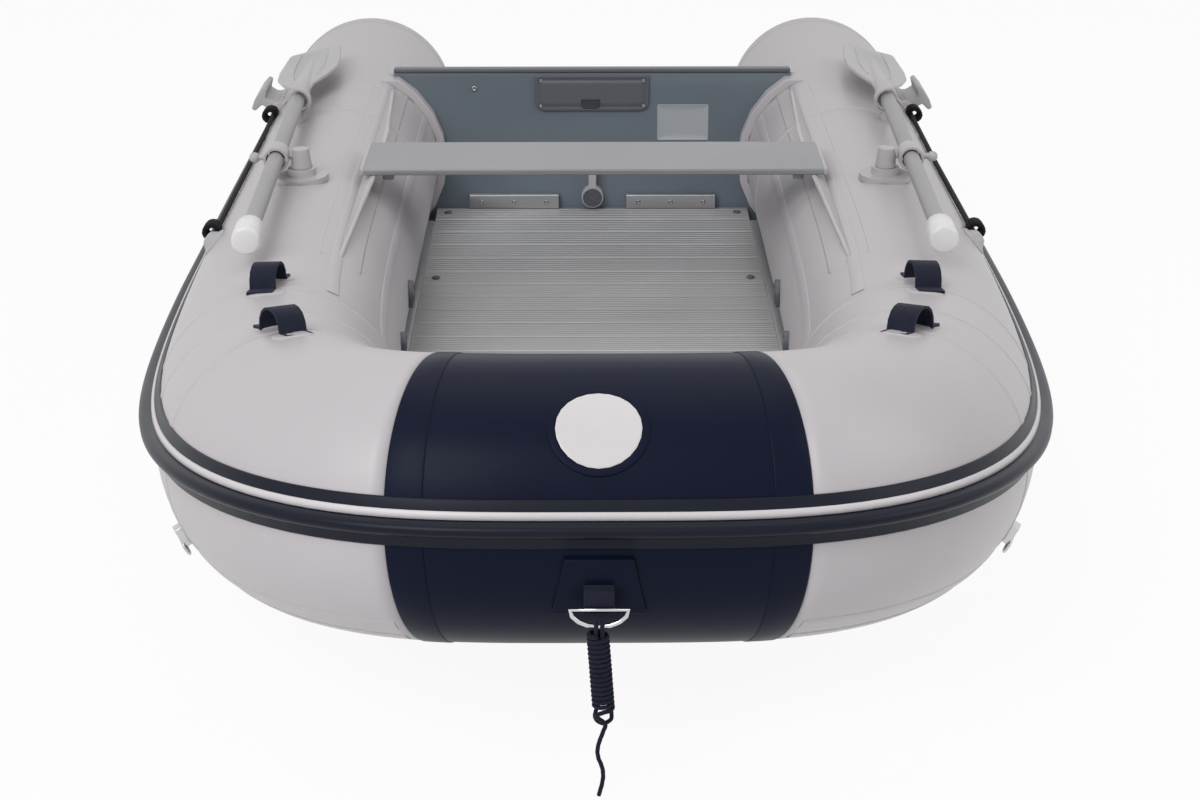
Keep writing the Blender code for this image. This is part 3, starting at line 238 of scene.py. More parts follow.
def woven_finish(name, code, thread_mm, roughness, sheen, bump):
    """Yarn or webbing: fine crossing threads, slightly uneven in tone, with a soft sheen."""
    made, tree, shader = new_material(name)
    place = add(tree, "ShaderNodeTexCoord").outputs["Object"]
    threads = add(tree, "ShaderNodeTexWave", {"wave_type": "BANDS", "bands_direction": "DIAGONAL"},
                  Vector=place, Scale=1000 / thread_mm / 6.283, Distortion=1.5, Detail=1.0)
    uneven = add(tree, "ShaderNodeTexNoise", Vector=place, Scale=60.0, Detail=3.0)
    light = tuple(min(1.0, c * 1.7 + 0.004) for c in linear(code)[:3]) + (1.0,)
    two_tones(tree, shader, uneven.outputs["Fac"], linear(code), light)
    relief = add(tree, "ShaderNodeBump", Strength=bump, Distance=0.0006,
                 Height=threads.outputs["Fac"])
    tree.links.new(relief.outputs[0], shader.inputs["Normal"])
    shader.inputs["Roughness"].default_value = roughness
    shader.inputs["Specular IOR Level"].default_value = 0.12
    shader.inputs["Sheen Weight"].default_value = sheen
    return made


rope_navy = woven_finish("polyester_rope_navy", "151827", 0.8, 0.75, 0.05, 0.5)
hank_drop = HANK_FOOT - HANK_TOP
painter_path = []
for n in range(WRAPS * WRAP_POINTS + 1):
    turn = 2 * math.pi * n / WRAP_POINTS
    out = Vector((-math.sin(turn), -math.cos(turn), 0)) * WRAP_RADIUS
    painter_path.append(HANK_TOP + hank_drop * n / (WRAPS * WRAP_POINTS) + out)
tail = [Vector((x, y + BOW_LINE_Y, z)) for x, y, z in TAIL_POINTS]
leave = painter_path[-1]
ahead = (painter_path[-1] - painter_path[-2]).normalized()
ease = leave + ahead * TAIL_LEAVE + Vector((0, 0.0015, -0.005))
painter_path = painter_path[:-1] + [Vector(p) for p in smooth_path([leave, ease] + tail, 8)]
painter_length = sum((b - a).length for a, b in zip(painter_path, painter_path[1:]))
painter = laid_rope("painter_rope", [painter_path], ROPE_RADIUS, rope_navy)
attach(painter, "hull")
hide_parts("painter_hank", "painter_tail")

hitch_runs = []
over = RING_WIRE + ROPE_RADIUS
for x in (-HITCH_SPREAD, HITCH_SPREAD):
    loop = [RING_BAR + Vector((x * 0.9, HITCH_HALF, HITCH_FOOT)),
            RING_BAR + Vector((x, over * 0.9, HITCH_SIDE))]
    loop += [RING_BAR + Vector((x, over * math.cos(t), over * math.sin(t)))
             for t in (math.radians(a) for a in range(0, 181, 30))]
    loop += [RING_BAR + Vector((x, -over * 0.9, HITCH_SIDE)),
             RING_BAR + Vector((x * 0.9, -HITCH_HALF, HITCH_FOOT))]
    hitch_runs.append(smooth_path(loop, 4))
bight = [HANK_FOOT + Vector(p) for p in
         ((-0.006, 0, 0.020), (-0.008, 0, 0.004), (-0.0115, 0, -0.008), (-0.0105, 0, -0.018),
          (-0.001, 0, -0.0245), (0.0095, 0, -0.019), (0.011, 0, -0.008), (0.008, 0, 0.004),
          (0.006, 0, 0.020))]
hitch_runs.append(smooth_path(bight, 5))
hitch = laid_rope("painter_hitch", hitch_runs, ROPE_RADIUS * 0.98, rope_navy)
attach(hitch, "hull")
tuple(painter_path[0])
[tuple(p) for p in painter_path]

# Buoyancy tube: the U of air chambers and the navy bow section.
# Coated polyester fabric glued along taped seams and blown hard, so it is smooth and satin with
# faint puckers; the bow panel is a navy piece edged with raised tape.
TUBE_RADIUS = 0.208
TUBE_SPREAD = 0.575
BOW_DEPTH = 1.34
BOW_RISE = 0.134
SHEER_LENGTH = 1.20
STERN_END = 2.885
BOW_SQUARENESS = 4.0
BOW_FULLNESS = 2.36
SHEER_POWER = 2.3
SECTION_SIDES = 72
TAPE_THICKNESS = 0.0012
SEAM_THICKNESS = 0.0009
BAND_HALF_WIDTH = 0.235
CHAMBER_STEP = 0.016
STATIONS = 481
MIDDLE = STATIONS // 2


def tube_height(y):
    """Height of the tube's centre line above the floor at a distance behind the bow line."""
    forward = min(max((SHEER_LENGTH - y) / SHEER_LENGTH, 0.0), 1.0)
    return TUBE_RADIUS + BOW_RISE * forward ** SHEER_POWER


def hull_stations():
    """Centre points, outward and upward directions and lengths from the left stern to the right."""
    turns = np.linspace(0, math.pi / 2, 90)
    x = TUBE_SPREAD * np.sin(turns) ** (2 / BOW_SQUARENESS)
    y = BOW_DEPTH * (1 - np.maximum(np.cos(turns), 0) ** (2 / BOW_FULLNESS))
    x[0] = y[0] = 0.0
    back = np.linspace(BOW_DEPTH, STERN_END, 40)[1:]
    x = np.concatenate([x, np.full(len(back), TUBE_SPREAD)])
    y = np.concatenate([y, back])
    half = np.array([(a, b + BOW_LINE_Y, tube_height(b)) for a, b in zip(x, y)])
    places = np.concatenate([half[::-1] * (-1, 1, 1), half[1:]])
    lengths = np.concatenate([[0], np.cumsum(np.linalg.norm(np.diff(places, axis=0), axis=1))])
    even = np.linspace(0, lengths[-1], STATIONS)
    places = np.stack([np.interp(even, lengths, places[:, k]) for k in range(3)], axis=1)
    for _ in range(4):
        places[1:-1] = (places[:-2] + 2 * places[1:-1] + places[2:]) / 4
    ahead = np.gradient(places, axis=0)
    ahead /= np.linalg.norm(ahead, axis=1)[:, None]
    outward = np.cross(ahead, (0, 0, 1))
    outward /= np.linalg.norm(outward, axis=1)[:, None]
    upward = np.cross(outward, ahead)
    return even - even[-1] / 2, places, outward, upward


run, centres, outwards, upwards = hull_stations()
HALF_RUN = run[-1]


def run_at(y):
    """Place round the hull's right half at a distance behind the bow line."""
    return float(np.interp(BOW_LINE_Y + y, centres[MIDDLE:, 1], run[MIDDLE:]))


def on_hull(along, angle, lift=0.0):
    """A point by the tube: along is measured round from the bow, angle from the outer side up."""
    pick = [np.array([np.interp(along, run, field[:, k]) for k in range(3)])
            for field in (centres, outwards, upwards)]
    radius = TUBE_RADIUS + lift
    return pick[0] + radius * (math.cos(angle) * pick[1] + math.sin(angle) * pick[2])


def grid_mesh(name, rows, finish, closed=False, smooth=True):
    """Mesh through rows of points; closed joins each row's ends."""
    mesh = bpy.data.meshes.new(name)
    wide = len(rows[0])
    spans = wide if closed else wide - 1
    faces = [(r * wide + c, r * wide + (c + 1) % wide, (r + 1) * wide + (c + 1) % wide,
              (r + 1) * wide + c) for r in range(len(rows) - 1) for c in range(spans)]
    mesh.from_pydata([tuple(map(float, p)) for row in rows for p in row], [], faces)
    if smooth:
        mesh.shade_smooth()
    return link_object(name, mesh, finish)


def outward_normals(obj, cap=True):
    """Close a swept piece's ends, and point its faces outwards."""
    shape = bmesh.new()
    shape.from_mesh(obj.data)
    if cap:
        bmesh.ops.holes_fill(shape, edges=[e for e in shape.edges if e.is_boundary], sides=0)
    bmesh.ops.recalc_face_normals(shape, faces=shape.faces)
    shape.to_mesh(obj.data)
    shape.free()
    return obj


def coated_fabric(name, code, roughness=0.40, pucker=0.25, shine=0.45):
    """Coated polyester fabric: satin, a woven base that just shows through, and faint puckers."""
    made, tree, shader = new_material(name)
    place = add(tree, "ShaderNodeTexCoord").outputs["Object"]
    cloud = add(tree, "ShaderNodeTexNoise", Vector=place, Scale=3.2, Detail=3.0, Roughness=0.5)
    grain = add(tree, "ShaderNodeTexNoise", Vector=place, Scale=420.0, Detail=2.0)
    swell = add(tree, "ShaderNodeTexNoise", Vector=place, Scale=9.0, Detail=2.0)
    base = linear(code)
    two_tones(tree, shader, cloud.outputs["Fac"], scaled(base, 0.93), scaled(base, 1.05))
    rough = add(tree, "ShaderNodeMapRange", i0=cloud.outputs["Fac"], i3=roughness - 0.05,
                i4=roughness + 0.07)
    tree.links.new(rough.outputs[0], shader.inputs["Roughness"])
    large = add(tree, "ShaderNodeBump", Strength=pucker, Distance=0.004,
                Height=swell.outputs["Fac"])
    fine = add(tree, "ShaderNodeBump", Strength=0.12, Distance=0.0004,
               Height=grain.outputs["Fac"])
    tree.links.new(large.outputs[0], fine.inputs["Normal"])
    shader.inputs["Specular IOR Level"].default_value = shine
    tree.links.new(fine.outputs[0], shader.inputs["Normal"])
    return made


fabric_grey = coated_fabric("coated_fabric_grey", "C6C1C4")
fabric_navy = coated_fabric("coated_fabric_navy", "12172B", roughness=0.36, shine=0.07)
around = np.linspace(0, 2 * math.pi, SECTION_SIDES, endpoint=False)
BAND_END = float(np.interp(BAND_HALF_WIDTH, centres[MIDDLE:, 0], run[MIDDLE:]))
BAND_GAP = 0.0002
JOINT_END = HALF_RUN - 0.0002


def tube_length(name, start, end, finish):
    """A closed length of the tube between two places round the hull."""
    steps = max(4, int(abs(end - start) / CHAMBER_STEP))
    rows = [[on_hull(s, a) for a in around] for s in np.linspace(start, end, steps + 1)]
    return outward_normals(grid_mesh(name, rows, finish, closed=True))


bow = tube_length("bow_panel", -BAND_END + BAND_GAP, BAND_END - BAND_GAP, fabric_navy)
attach(bow, "hull")
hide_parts("bow_section")
for side, word in ((-1, "left"), (1, "right")):
    chamber = tube_length("air_chamber_" + word, side * (BAND_END + BAND_GAP), side * JOINT_END,
                          fabric_grey)
    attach(chamber, "hull")
    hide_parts("tube_" + word)


def tape(name, places, width, finish, thickness=TAPE_THICKNESS):
    """A strip of tape glued on the tube along (along, angle) places, with thin rounded edges."""
    spots = np.array(smooth_path([(s, a * TUBE_RADIUS, 0) for s, a in places], 6))[:, :2]
    rows = []
    for n, (s, arc) in enumerate(spots):
        step = spots[min(n + 1, len(spots) - 1)] - spots[max(n - 1, 0)]
        step = step / np.linalg.norm(step)
        row = []
        for across, lift in ((-0.5, -0.001), (-0.5, thickness * 0.6), (-0.46, thickness),
                             (0.0, thickness * 1.1), (0.46, thickness), (0.5, thickness * 0.6),
                             (0.5, -0.001)):
            row.append(on_hull(s - step[1] * across * width,
                               (arc + step[0] * across * width) / TUBE_RADIUS, lift))
        rows.append(row)
    strip = grid_mesh(name, rows, finish)
    return outward_normals(strip, cap=False)


def joined(name, parts):
    """Several pieces of one finish as one object."""
    shape = bmesh.new()
    for part in parts:
        shape.from_mesh(part.data)
    mesh = bpy.data.meshes.new(name)
    shape.to_mesh(mesh)
    shape.free()
    finish = parts[0].data.materials[0]
    for part in parts:
        bpy.data.objects.remove(part)
    mesh.shade_smooth()
    return link_object(name, mesh, finish)


ring_angles = [math.radians(a) for a in range(-180, 181, 12)]
edge_tapes = [tape("edge_tape", [(side * (BAND_END - 0.017), a) for a in ring_angles], 0.034,
                   fabric_navy) for side in (-1, 1)]
edge_tapes = joined("bow_edge_tapes", edge_tapes)
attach(edge_tapes, "hull")

seam_tapes = []
for side in (-1, 1):
    for s in (0.62, 0.80, 0.985, 2.30, HALF_RUN - 0.02):
        seam_tapes.append(tape("seam", [(side * s, a) for a in ring_angles], 0.026, fabric_grey,
                               SEAM_THICKNESS))
    for angle, start, end in ((-38, BAND_END + 0.01, 0.98), (-52, BAND_END + 0.01, 0.80)):
        seam_tapes.append(tape("seam", [(side * s, math.radians(angle))
                                        for s in np.linspace(start, end, 8)], 0.022, fabric_grey,
                               SEAM_THICKNESS))
    for start, end, a0, a1 in ((0.985, 2.95, 152, 150), (1.02, 2.9, 118, 118)):
        seam_tapes.append(tape("seam", [(side * s, math.radians(a0 + (a1 - a0) * t))
                                        for t, s in zip(np.linspace(0, 1, 9),
                                                        np.linspace(start, end, 9))], 0.024,
                               fabric_grey, SEAM_THICKNESS))
seam_tapes = joined("tube_seam_tapes", seam_tapes)
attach(seam_tapes, "hull")

# Stern cones.
# Each tube ends in a blunt cone of the same coated fabric, drawn in over a moulded end cap.
CONE_LENGTH = 0.25
CONE_GAP = 0.0003
CONE_CAP_PROFILE = ((0.036, -0.010), (0.040, -0.001), (0.039, 0.0035), (0.030, 0.0045),
                    (0.028, 0.002), (0.010, 0.002), (0.004, 0.002))
CONE_SHARES = ((0.0, 1.0), (0.10, 0.985), (0.28, 0.93), (0.42, 0.845), (0.55, 0.74), (0.68, 0.60),
               (0.8, 0.46), (0.92, 0.28), (1.0, 0.2))
for side, word in ((-1, "left"), (1, "right")):
    profile = smooth_path([(a, b, 0) for a, b in CONE_SHARES], 3)
    rows = [[(side * TUBE_SPREAD + TUBE_RADIUS * r * math.cos(a),
              BOW_LINE_Y + STERN_END + CONE_GAP + CONE_LENGTH * length,
              TUBE_RADIUS + TUBE_RADIUS * r * math.sin(a)) for a in around]
            for length, r, _ in profile]
    cone = outward_normals(grid_mesh("tube_cone_" + word, rows, fabric_grey, closed=True))
    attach(cone, "hull")
    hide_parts("stern_cone_" + word)
    end_rows = [[(side * TUBE_SPREAD + r * math.cos(a),
                  BOW_LINE_Y + STERN_END + CONE_LENGTH + depth, TUBE_RADIUS + r * math.sin(a))
                 for a in around[::2]] for r, depth in CONE_CAP_PROFILE]
    end_cap = outward_normals(grid_mesh("cone_end_cap_" + word, end_rows, fabric_navy, closed=True))
    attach(end_cap, "hull")

# Rub strake: the bumper round the boat's widest line.
# Extruded navy rubber glued to the tube by two flat lips, with a round bulge and an inlaid white
# stripe above it.
STRAKE_BOW_ANGLE = math.radians(14)
STRAKE_STERN_ANGLE = math.radians(4)
STRAKE_PROFILE = ((0.0345, -0.001), (0.0345, 0.0022), (0.0330, 0.0036), (0.0200, 0.0046),
                  (0.0190, 0.0062), (0.0178, 0.0066), (0.0068, 0.0072), (0.0058, 0.0080),
                  (0.0052, 0.0150), (0.0030, 0.0215), (-0.0010, 0.0262), (-0.0060, 0.0276),
                  (-0.0110, 0.0262), (-0.0150, 0.0215), (-0.0172, 0.0150), (-0.0180, 0.0080),
                  (-0.0195, 0.0050), (-0.0325, 0.0036), (-0.0340, 0.0022), (-0.0340, -0.001))
STRIPE_PROFILE = ((0.0185, 0.0055), (0.0186, 0.0080), (0.0172, 0.0094), (0.0124, 0.0102),
                  (0.0078, 0.0094), (0.0066, 0.0080), (0.0066, 0.0055))
rubber_navy = coated_fabric("extruded_rubber_navy", "171A28", roughness=0.34, pucker=0.05,
                            shine=0.14)
rubber_white = coated_fabric("extruded_rubber_white", "DCD8DA", roughness=0.36, pucker=0.05)


def strake_angle(along):
    """Angle of the strake above the tube's widest line."""
    y = np.interp(abs(along), run[MIDDLE:], centres[MIDDLE:, 1]) - BOW_LINE_Y
    return STRAKE_BOW_ANGLE + (STRAKE_STERN_ANGLE - STRAKE_BOW_ANGLE) * min(y / STERN_END, 1.0)


def along_strake(name, profile, finish, end):
    """Sweep a profile of (height over the middle, stand off the tube) round the hull."""
    rows = [[on_hull(s, strake_angle(s) + up / (TUBE_RADIUS + max(lift, 0)), lift)
             for up, lift in profile] for s in np.linspace(-end, end, 301)]
    return outward_normals(grid_mesh(name, rows, finish, closed=True))


STRAKE_END = HALF_RUN - 0.016
strake = along_strake("rubber_strake", STRAKE_PROFILE, rubber_navy, STRAKE_END)
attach(strake, "hull")
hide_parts("rub_strake")
stripe = along_strake("strake_stripe", STRIPE_PROFILE, rubber_white, STRAKE_END - 0.001)
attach(stripe, "hull")
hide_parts("strake_line")

# Fabric bottom.
# One sheet of coated fabric glued under the tubes and drawn tight over a shallow V. The CAD solid
# has its shape and keeps its place, in the tubes' fabric.
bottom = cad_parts["hull_bottom"].data
bottom.materials.clear()
bottom.materials.append(fabric_grey)
bottom.shade_smooth()

# Aluminium floor.
# Extruded planks locked side by side across the boat, in panels whose edges slot into a stringer
# along each tube; mill finish, brushed across by the die, with a groove at each joint.
FLOOR_TOP = 0.087
FLOOR_HALF_WIDTH = 0.372
PANEL_ENDS = (("floor_panel_2", 0.960, 1.295, 4), ("floor_panel_3", 1.295, 1.796, 6),
              ("floor_panel_4", 1.796, 2.285, 5))
PANEL_GAP = 0.0008
PLANK_GAP = 0.0006
PLANK_DEPTH = 0.020
PLANK_RIBS = 6
PLANK_EDGE = ((0.0, PLANK_DEPTH), (0.0, 0.0022), (0.0018, 0.0004))
RIB_MARGIN = 0.006
RIB_PROFILE = ((0.0, 0.0), (0.0006, 0.0007), (0.0022, 0.0007), (0.0028, 0.0))


def brushed_metal(name, code, stretch, roughness=0.42, metallic=0.75):
    """Extruded or rolled metal: long faint die lines in one direction, and clouded brightness."""
    made, tree, shader = new_material(name)
    place = add(tree, "ShaderNodeTexCoord").outputs["Object"]
    lines = add(tree, "ShaderNodeMapping", Vector=place, Scale=stretch)
    streaks = add(tree, "ShaderNodeTexNoise", Vector=lines.outputs[0], Scale=1.0, Detail=4.0)
    cloud = add(tree, "ShaderNodeTexNoise", Vector=place, Scale=4.0, Detail=3.0)
    both = add(tree, "ShaderNodeMath", {"operation": "MULTIPLY"}, i0=streaks.outputs["Fac"],
               i1=cloud.outputs["Fac"])
    base = linear(code)
    two_tones(tree, shader, both.outputs[0], scaled(base, 0.86), scaled(base, 1.35))
    rough = add(tree, "ShaderNodeMapRange", i0=streaks.outputs["Fac"], i3=roughness - 0.08,
                i4=roughness + 0.12)
    tree.links.new(rough.outputs[0], shader.inputs["Roughness"])
    relief = add(tree, "ShaderNodeBump", Strength=0.15, Distance=0.0005,
                 Height=streaks.outputs["Fac"])
    tree.links.new(relief.outputs[0], shader.inputs["Normal"])
    shader.inputs["Metallic"].default_value = metallic
    return made


def placing_tree():
    """Node tree that sets an item on each point of a mesh, along its facing, with one finish."""
    tree = bpy.data.node_groups.new("set_items_on_points", "GeometryNodeTree")
    for label, kind in (("Points", "NodeSocketGeometry"), ("Item", "NodeSocketObject"),
                        ("Size", "NodeSocketFloat"), ("Finish", "NodeSocketMaterial")):
        tree.interface.new_socket(label, in_out="INPUT", socket_type=kind)
    tree.interface.new_socket("Geometry", in_out="OUTPUT", socket_type="NodeSocketGeometry")
    given = tree.nodes.new("NodeGroupInput")
    result = tree.nodes.new("NodeGroupOutput")
    facing = add(tree, "GeometryNodeInputNamedAttribute", {"data_type": "FLOAT_VECTOR"},
                 Name="facing")
    turn = add(tree, "FunctionNodeAlignRotationToVector", {"axis": "Z"},
               Vector=facing.outputs[0])
    item = add(tree, "GeometryNodeObjectInfo", Object=given.outputs["Item"])
    copies = add(tree, "GeometryNodeInstanceOnPoints", Points=given.outputs["Points"],
                 Instance=item.outputs["Geometry"], Rotation=turn.outputs[0],
                 Scale=given.outputs["Size"])
    real = add(tree, "GeometryNodeRealizeInstances", Geometry=copies.outputs[0])
    dressed = add(tree, "GeometryNodeSetMaterial", Geometry=real.outputs[0],
                  Material=given.outputs["Finish"])
    tree.links.new(dressed.outputs[0], result.inputs[0])
    return tree


item_placing = placing_tree()


def placed(name, item, places, facings, finish, body="hull", size=1.0):
    """A plain mesh with a copy of item at every place, its Z axis along each facing."""
    mesh = bpy.data.meshes.new(name)
    mesh.from_pydata([tuple(map(float, p)) for p in places], [], [])
    towards = mesh.attributes.new("facing", "FLOAT_VECTOR", "POINT")
    for spot, facing in zip(towards.data, facings):
        spot.vector = facing
    points = link_object(name + "_points", mesh, None)
    layer = points.modifiers.new("copies", "NODES")
    layer.node_group = item_placing
    for socket in item_placing.interface.items_tree:
        if socket.in_out == "INPUT" and socket.name in ("Item", "Size", "Finish"):
            layer[socket.identifier] = {"Item": item, "Size": size, "Finish": finish}[socket.name]
    bpy.context.view_layer.update()
    ready = points.evaluated_get(bpy.context.evaluated_depsgraph_get())
    result = bpy.data.meshes.new_from_object(ready)
    bpy.data.objects.remove(points)
    piece = bpy.data.objects.new(name, result)
    bpy.context.scene.collection.objects.link(piece)
    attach(piece, body)
    return piece


def swept(name, profile, path, finish):
    """Sweep a closed profile of (aside, up) along a straight or bent path with a level side."""
    path = [Vector(p) for p in path]
    rows = []
    for n, spot in enumerate(path):
        ahead = (path[min(n + 1, len(path) - 1)] - path[max(n - 1, 0)]).normalized()
        aside = ahead.cross(Vector((0, 0, 1))).normalized()
        up = aside.cross(ahead)
        rows.append([spot + aside * a + up * b for a, b in profile])
    return outward_normals(grid_mesh(name, rows, finish, closed=True, smooth=False))


floor_metal = brushed_metal("mill_finish_aluminium", "AEAEAF", (6.0, 900.0, 900.0), 0.45, 0.5)
for node, start, end, planks in PANEL_ENDS:
    pitch = (end - start - PANEL_GAP) / planks
    half = pitch / 2 - PLANK_GAP
    profile = [(-half + inset, FLOOR_TOP - drop) for inset, drop in PLANK_EDGE]
    for n in range(PLANK_RIBS):
        left = -half + RIB_MARGIN + (2 * half - 2 * RIB_MARGIN) * n / PLANK_RIBS
        profile += [(left + aside, FLOOR_TOP + up) for aside, up in RIB_PROFILE]
    profile += [(half - inset, FLOOR_TOP - drop) for inset, drop in PLANK_EDGE[::-1]]
    plank = swept("plank", [(-a, b) for a, b in profile],
                  [(-FLOOR_HALF_WIDTH, 0, 0), (FLOOR_HALF_WIDTH, 0, 0)], floor_metal)
    spots = [(0, BOW_LINE_Y + start + PANEL_GAP / 2 + pitch * (n + 0.5), 0)
             for n in range(planks)]
    panel = placed("planks_" + node[-1], plank, spots, [(0, 0, 1)] * planks, floor_metal)
    bpy.data.objects.remove(plank)
    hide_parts(node)


def from_cad(node, finish, edge=0.0015, body="hull", crease=38, steps=2):
    """The CAD solid's own shape with its edges rounded, as a finished piece."""
    shape = bmesh.new()
    shape.from_mesh(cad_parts[node].data)
    bmesh.ops.remove_doubles(shape, verts=shape.verts, dist=0.00002)
    bmesh.ops.dissolve_limit(shape, angle_limit=math.radians(1.0), verts=shape.verts,
                             edges=shape.edges)
    sharp = [e for e in shape.edges if len(e.link_faces) == 2
             and e.calc_face_angle(0) > math.radians(crease)]
    if edge:
        bmesh.ops.bevel(shape, geom=sharp, offset=edge, offset_type="OFFSET", segments=steps,
                        profile=0.6, affect="EDGES", clamp_overlap=True)
    mesh = bpy.data.meshes.new(node)
    shape.to_mesh(mesh)
    shape.free()
    mesh.shade_smooth()
    mesh.set_sharp_from_angle(angle=math.radians(crease))
    piece = link_object(node + "_finished", mesh, finish)
    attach(piece, body)
    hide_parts(node)
    return piece


edge_metal = brushed_metal("extruded_aluminium", "AFAFB1", (900.0, 6.0, 900.0), 0.38, 0.7)
from_cad("floor_panel_1", floor_metal)
for word in ("left", "right"):
    from_cad("floor_stringer_" + word, edge_metal, 0.002)

# Transom.
# A marine plywood board, painted blue grey and sealed under a dark cap; fabric-covered holders
# welded on the tubes grip its sides, and ribbed plates take the motor's clamp.
TRANSOM_FACE = 2.2908
TRANSOM_LEAN = math.radians(4.6)
CLAMP_PLATE_HEIGHT = 0.3615
# Place of the black half-round plate that paints the shade of the clamp plate's recess.
RECESS_SHADE_PLACE = (-0.004, 0.3365)
LABEL_PLACE = (0.216, 0.291)
LABEL_SIZE = (0.122, 0.086)
HOLD_DOWN_X = 0.188
HOLD_SCREW_PITCH = 0.078
HOLD_SCREW_HEIGHT = 0.1042
HOLD_DOWN_DEPTH = 0.0203
OUTER_FACE = 0.0388
STUD_X = 0.345
STUD_YS = (1.08, 1.75, 2.24)
DRAIN_CENTRE = 0.118
DRAIN_FOOT = 0.092
DRAIN_DEPTH = 0.030
lean_up = Vector((0, math.sin(TRANSOM_LEAN), math.cos(TRANSOM_LEAN)))
face_out = Vector((0, -math.cos(TRANSOM_LEAN), math.sin(TRANSOM_LEAN)))


def painted_board(name, code):
    """Two-pack paint on plywood: even colour, a light orange peel and soft clouding."""
    made, tree, shader = new_material(name)
    place = add(tree, "ShaderNodeTexCoord").outputs["Object"]
    cloud = add(tree, "ShaderNodeTexNoise", Vector=place, Scale=5.0, Detail=4.0)
    peel = add(tree, "ShaderNodeTexNoise", Vector=place, Scale=260.0, Detail=1.0)
    base = linear(code)
    two_tones(tree, shader, cloud.outputs["Fac"], scaled(base, 0.9), scaled(base, 1.1))
    relief = add(tree, "ShaderNodeBump", Strength=0.1, Distance=0.0004, Height=peel.outputs["Fac"])
    tree.links.new(relief.outputs[0], shader.inputs["Normal"])
    shader.inputs["Roughness"].default_value = 0.35
    return made


def moulded_plastic(name, code, roughness, texture=0.25):
    """Injection-moulded nylon or ABS: one colour with a fine spark-eroded grain."""
    made, tree, shader = new_material(name)
    place = add(tree, "ShaderNodeTexCoord").outputs["Object"]
    grain = add(tree, "ShaderNodeTexNoise", Vector=place, Scale=900.0, Detail=2.0)
    cloud = add(tree, "ShaderNodeTexNoise", Vector=place, Scale=12.0, Detail=2.0)
    base = linear(code)
    two_tones(tree, shader, cloud.outputs["Fac"], scaled(base, 0.95), scaled(base, 1.05))
    relief = add(tree, "ShaderNodeBump", Strength=texture, Distance=0.0002,
                 Height=grain.outputs["Fac"])
    tree.links.new(relief.outputs[0], shader.inputs["Normal"])
    shader.inputs["Roughness"].default_value = roughness
    return made


transom_paint = painted_board("painted_plywood_blue_grey", "6F7A84")
dark_nylon = moulded_plastic("moulded_nylon_dark_grey", "5C5E66", 0.45)
pale_nylon = moulded_plastic("moulded_nylon_pale_grey", "B9B6B8", 0.38)
white_nylon = moulded_plastic("moulded_nylon_white", "ECEBEC", 0.32)
from_cad("transom", transom_paint)
from_cad("transom_cap", dark_nylon, 0.003)
for word in ("left", "right"):
    from_cad("transom_holder_" + word, fabric_grey, 0.004, steps=3)


def rim_plate(name, place, size, corner, profile, finish, body="hull", squared=0):
    """A plate with rounded corners: place(u, v, lift) maps it, profile lists (inset, lift)."""
    rings = []
    for inset, lift in profile:
        half_w, half_h = size[0] / 2 - inset, size[1] / 2 - inset
        bend = max(corner - inset, 0.0008)
        ring = []
        for quarter, (sx, sy) in enumerate(((1, 1), (-1, 1), (-1, -1), (1, -1))):
            own = 0.002 if quarter < squared else bend
            own = min(own, half_w, half_h)
            for step in range(7):
                turn = math.pi / 2 * (quarter + step / 6)
                ring.append((sx * (half_w - own) + own * math.cos(turn),
                             sy * (half_h - own) + own * math.sin(turn), lift))
        rings.append(ring)
    last = rings[-1]
    for share in (0.66, 0.33, 0.02):
        rings.append([(u * share, v * share, lift) for u, v, lift in last])
    rows = [[place(u, v, lift) for u, v, lift in ring] for ring in rings]
    plate = outward_normals(grid_mesh(name, rows, finish, closed=True))
    plate.data.set_sharp_from_angle(angle=math.radians(40))
    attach(plate, body)
    return plate


def on_transom(x, z):
    """Mapping for a plate on the transom's inner face, centred at x and a height."""
    face_y = BOW_LINE_Y + TRANSOM_FACE + (z - FLOOR_TOP) * math.tan(TRANSOM_LEAN)
    return lambda u, v, lift: Vector((x + u, face_y, z)) + lean_up * v + face_out * lift


inner_pad = rim_plate("clamp_plate", on_transom(0.0, CLAMP_PLATE_HEIGHT), (0.270, 0.084), 0.022,
                      ((0.0, 0.0003), (0.0, 0.0065), (0.0015, 0.0080), (0.0070, 0.0080),
                       (0.0085, 0.0066), (0.0125, 0.0066), (0.0135, 0.0074), (0.020, 0.0074)),
                      dark_nylon, squared=2)
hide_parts("motor_pad_inner")
# Painted shade: a black half-round plate lies where the clamp plate's recess is, in place of a
# modelled hollow.
recess_shade_black = moulded_plastic("painted_recess_shade", "34353A", 0.5)
rim_plate("clamp_plate_pull", on_transom(*RECESS_SHADE_PLACE), (0.046, 0.024), 0.022,
          ((0.0, 0.0070), (0.0, 0.0086), (0.0010, 0.0090), (0.003, 0.0090), (0.004, 0.0078)),
          recess_shade_black, squared=2)
from_cad("motor_pad_outer", dark_nylon, 0.003)
label_paint = painted_board("blank_label_plate", "AEB3B8")
rim_plate("blank_label_plate", on_transom(*LABEL_PLACE), LABEL_SIZE, 0.004,
          ((0.0, 0.0002), (0.0, 0.0010), (0.0004, 0.0014), (0.002, 0.0014), (0.0024, 0.0011)),
          label_paint)
from_cad("drain_valve", pale_nylon, 0.003)
drain_face = on_transom(0.0, DRAIN_FOOT)(0, 0, 0).y - DRAIN_DEPTH
rim_plate("drain_valve_grille", lambda u, v, lift: Vector((u, drain_face - lift, DRAIN_CENTRE + v)),
          (0.046, 0.046), 0.0229,
          ((0.0, -0.001), (0.0, 0.0012), (0.0010, 0.0020), (0.0040, 0.0020), (0.0046, 0.0006),
           (0.0080, 0.0006), (0.0086, 0.0020), (0.0120, 0.0020), (0.0126, 0.0006),
           (0.0160, 0.0006), (0.0166, 0.0022)), dark_nylon)
hold_metal = brushed_metal("anodised_aluminium", "B2B2B5", (6.0, 900.0, 900.0), 0.34, 0.7)
for word in ("left", "right"):
    from_cad("floor_hold_down_" + word, hold_metal, 0.0015)

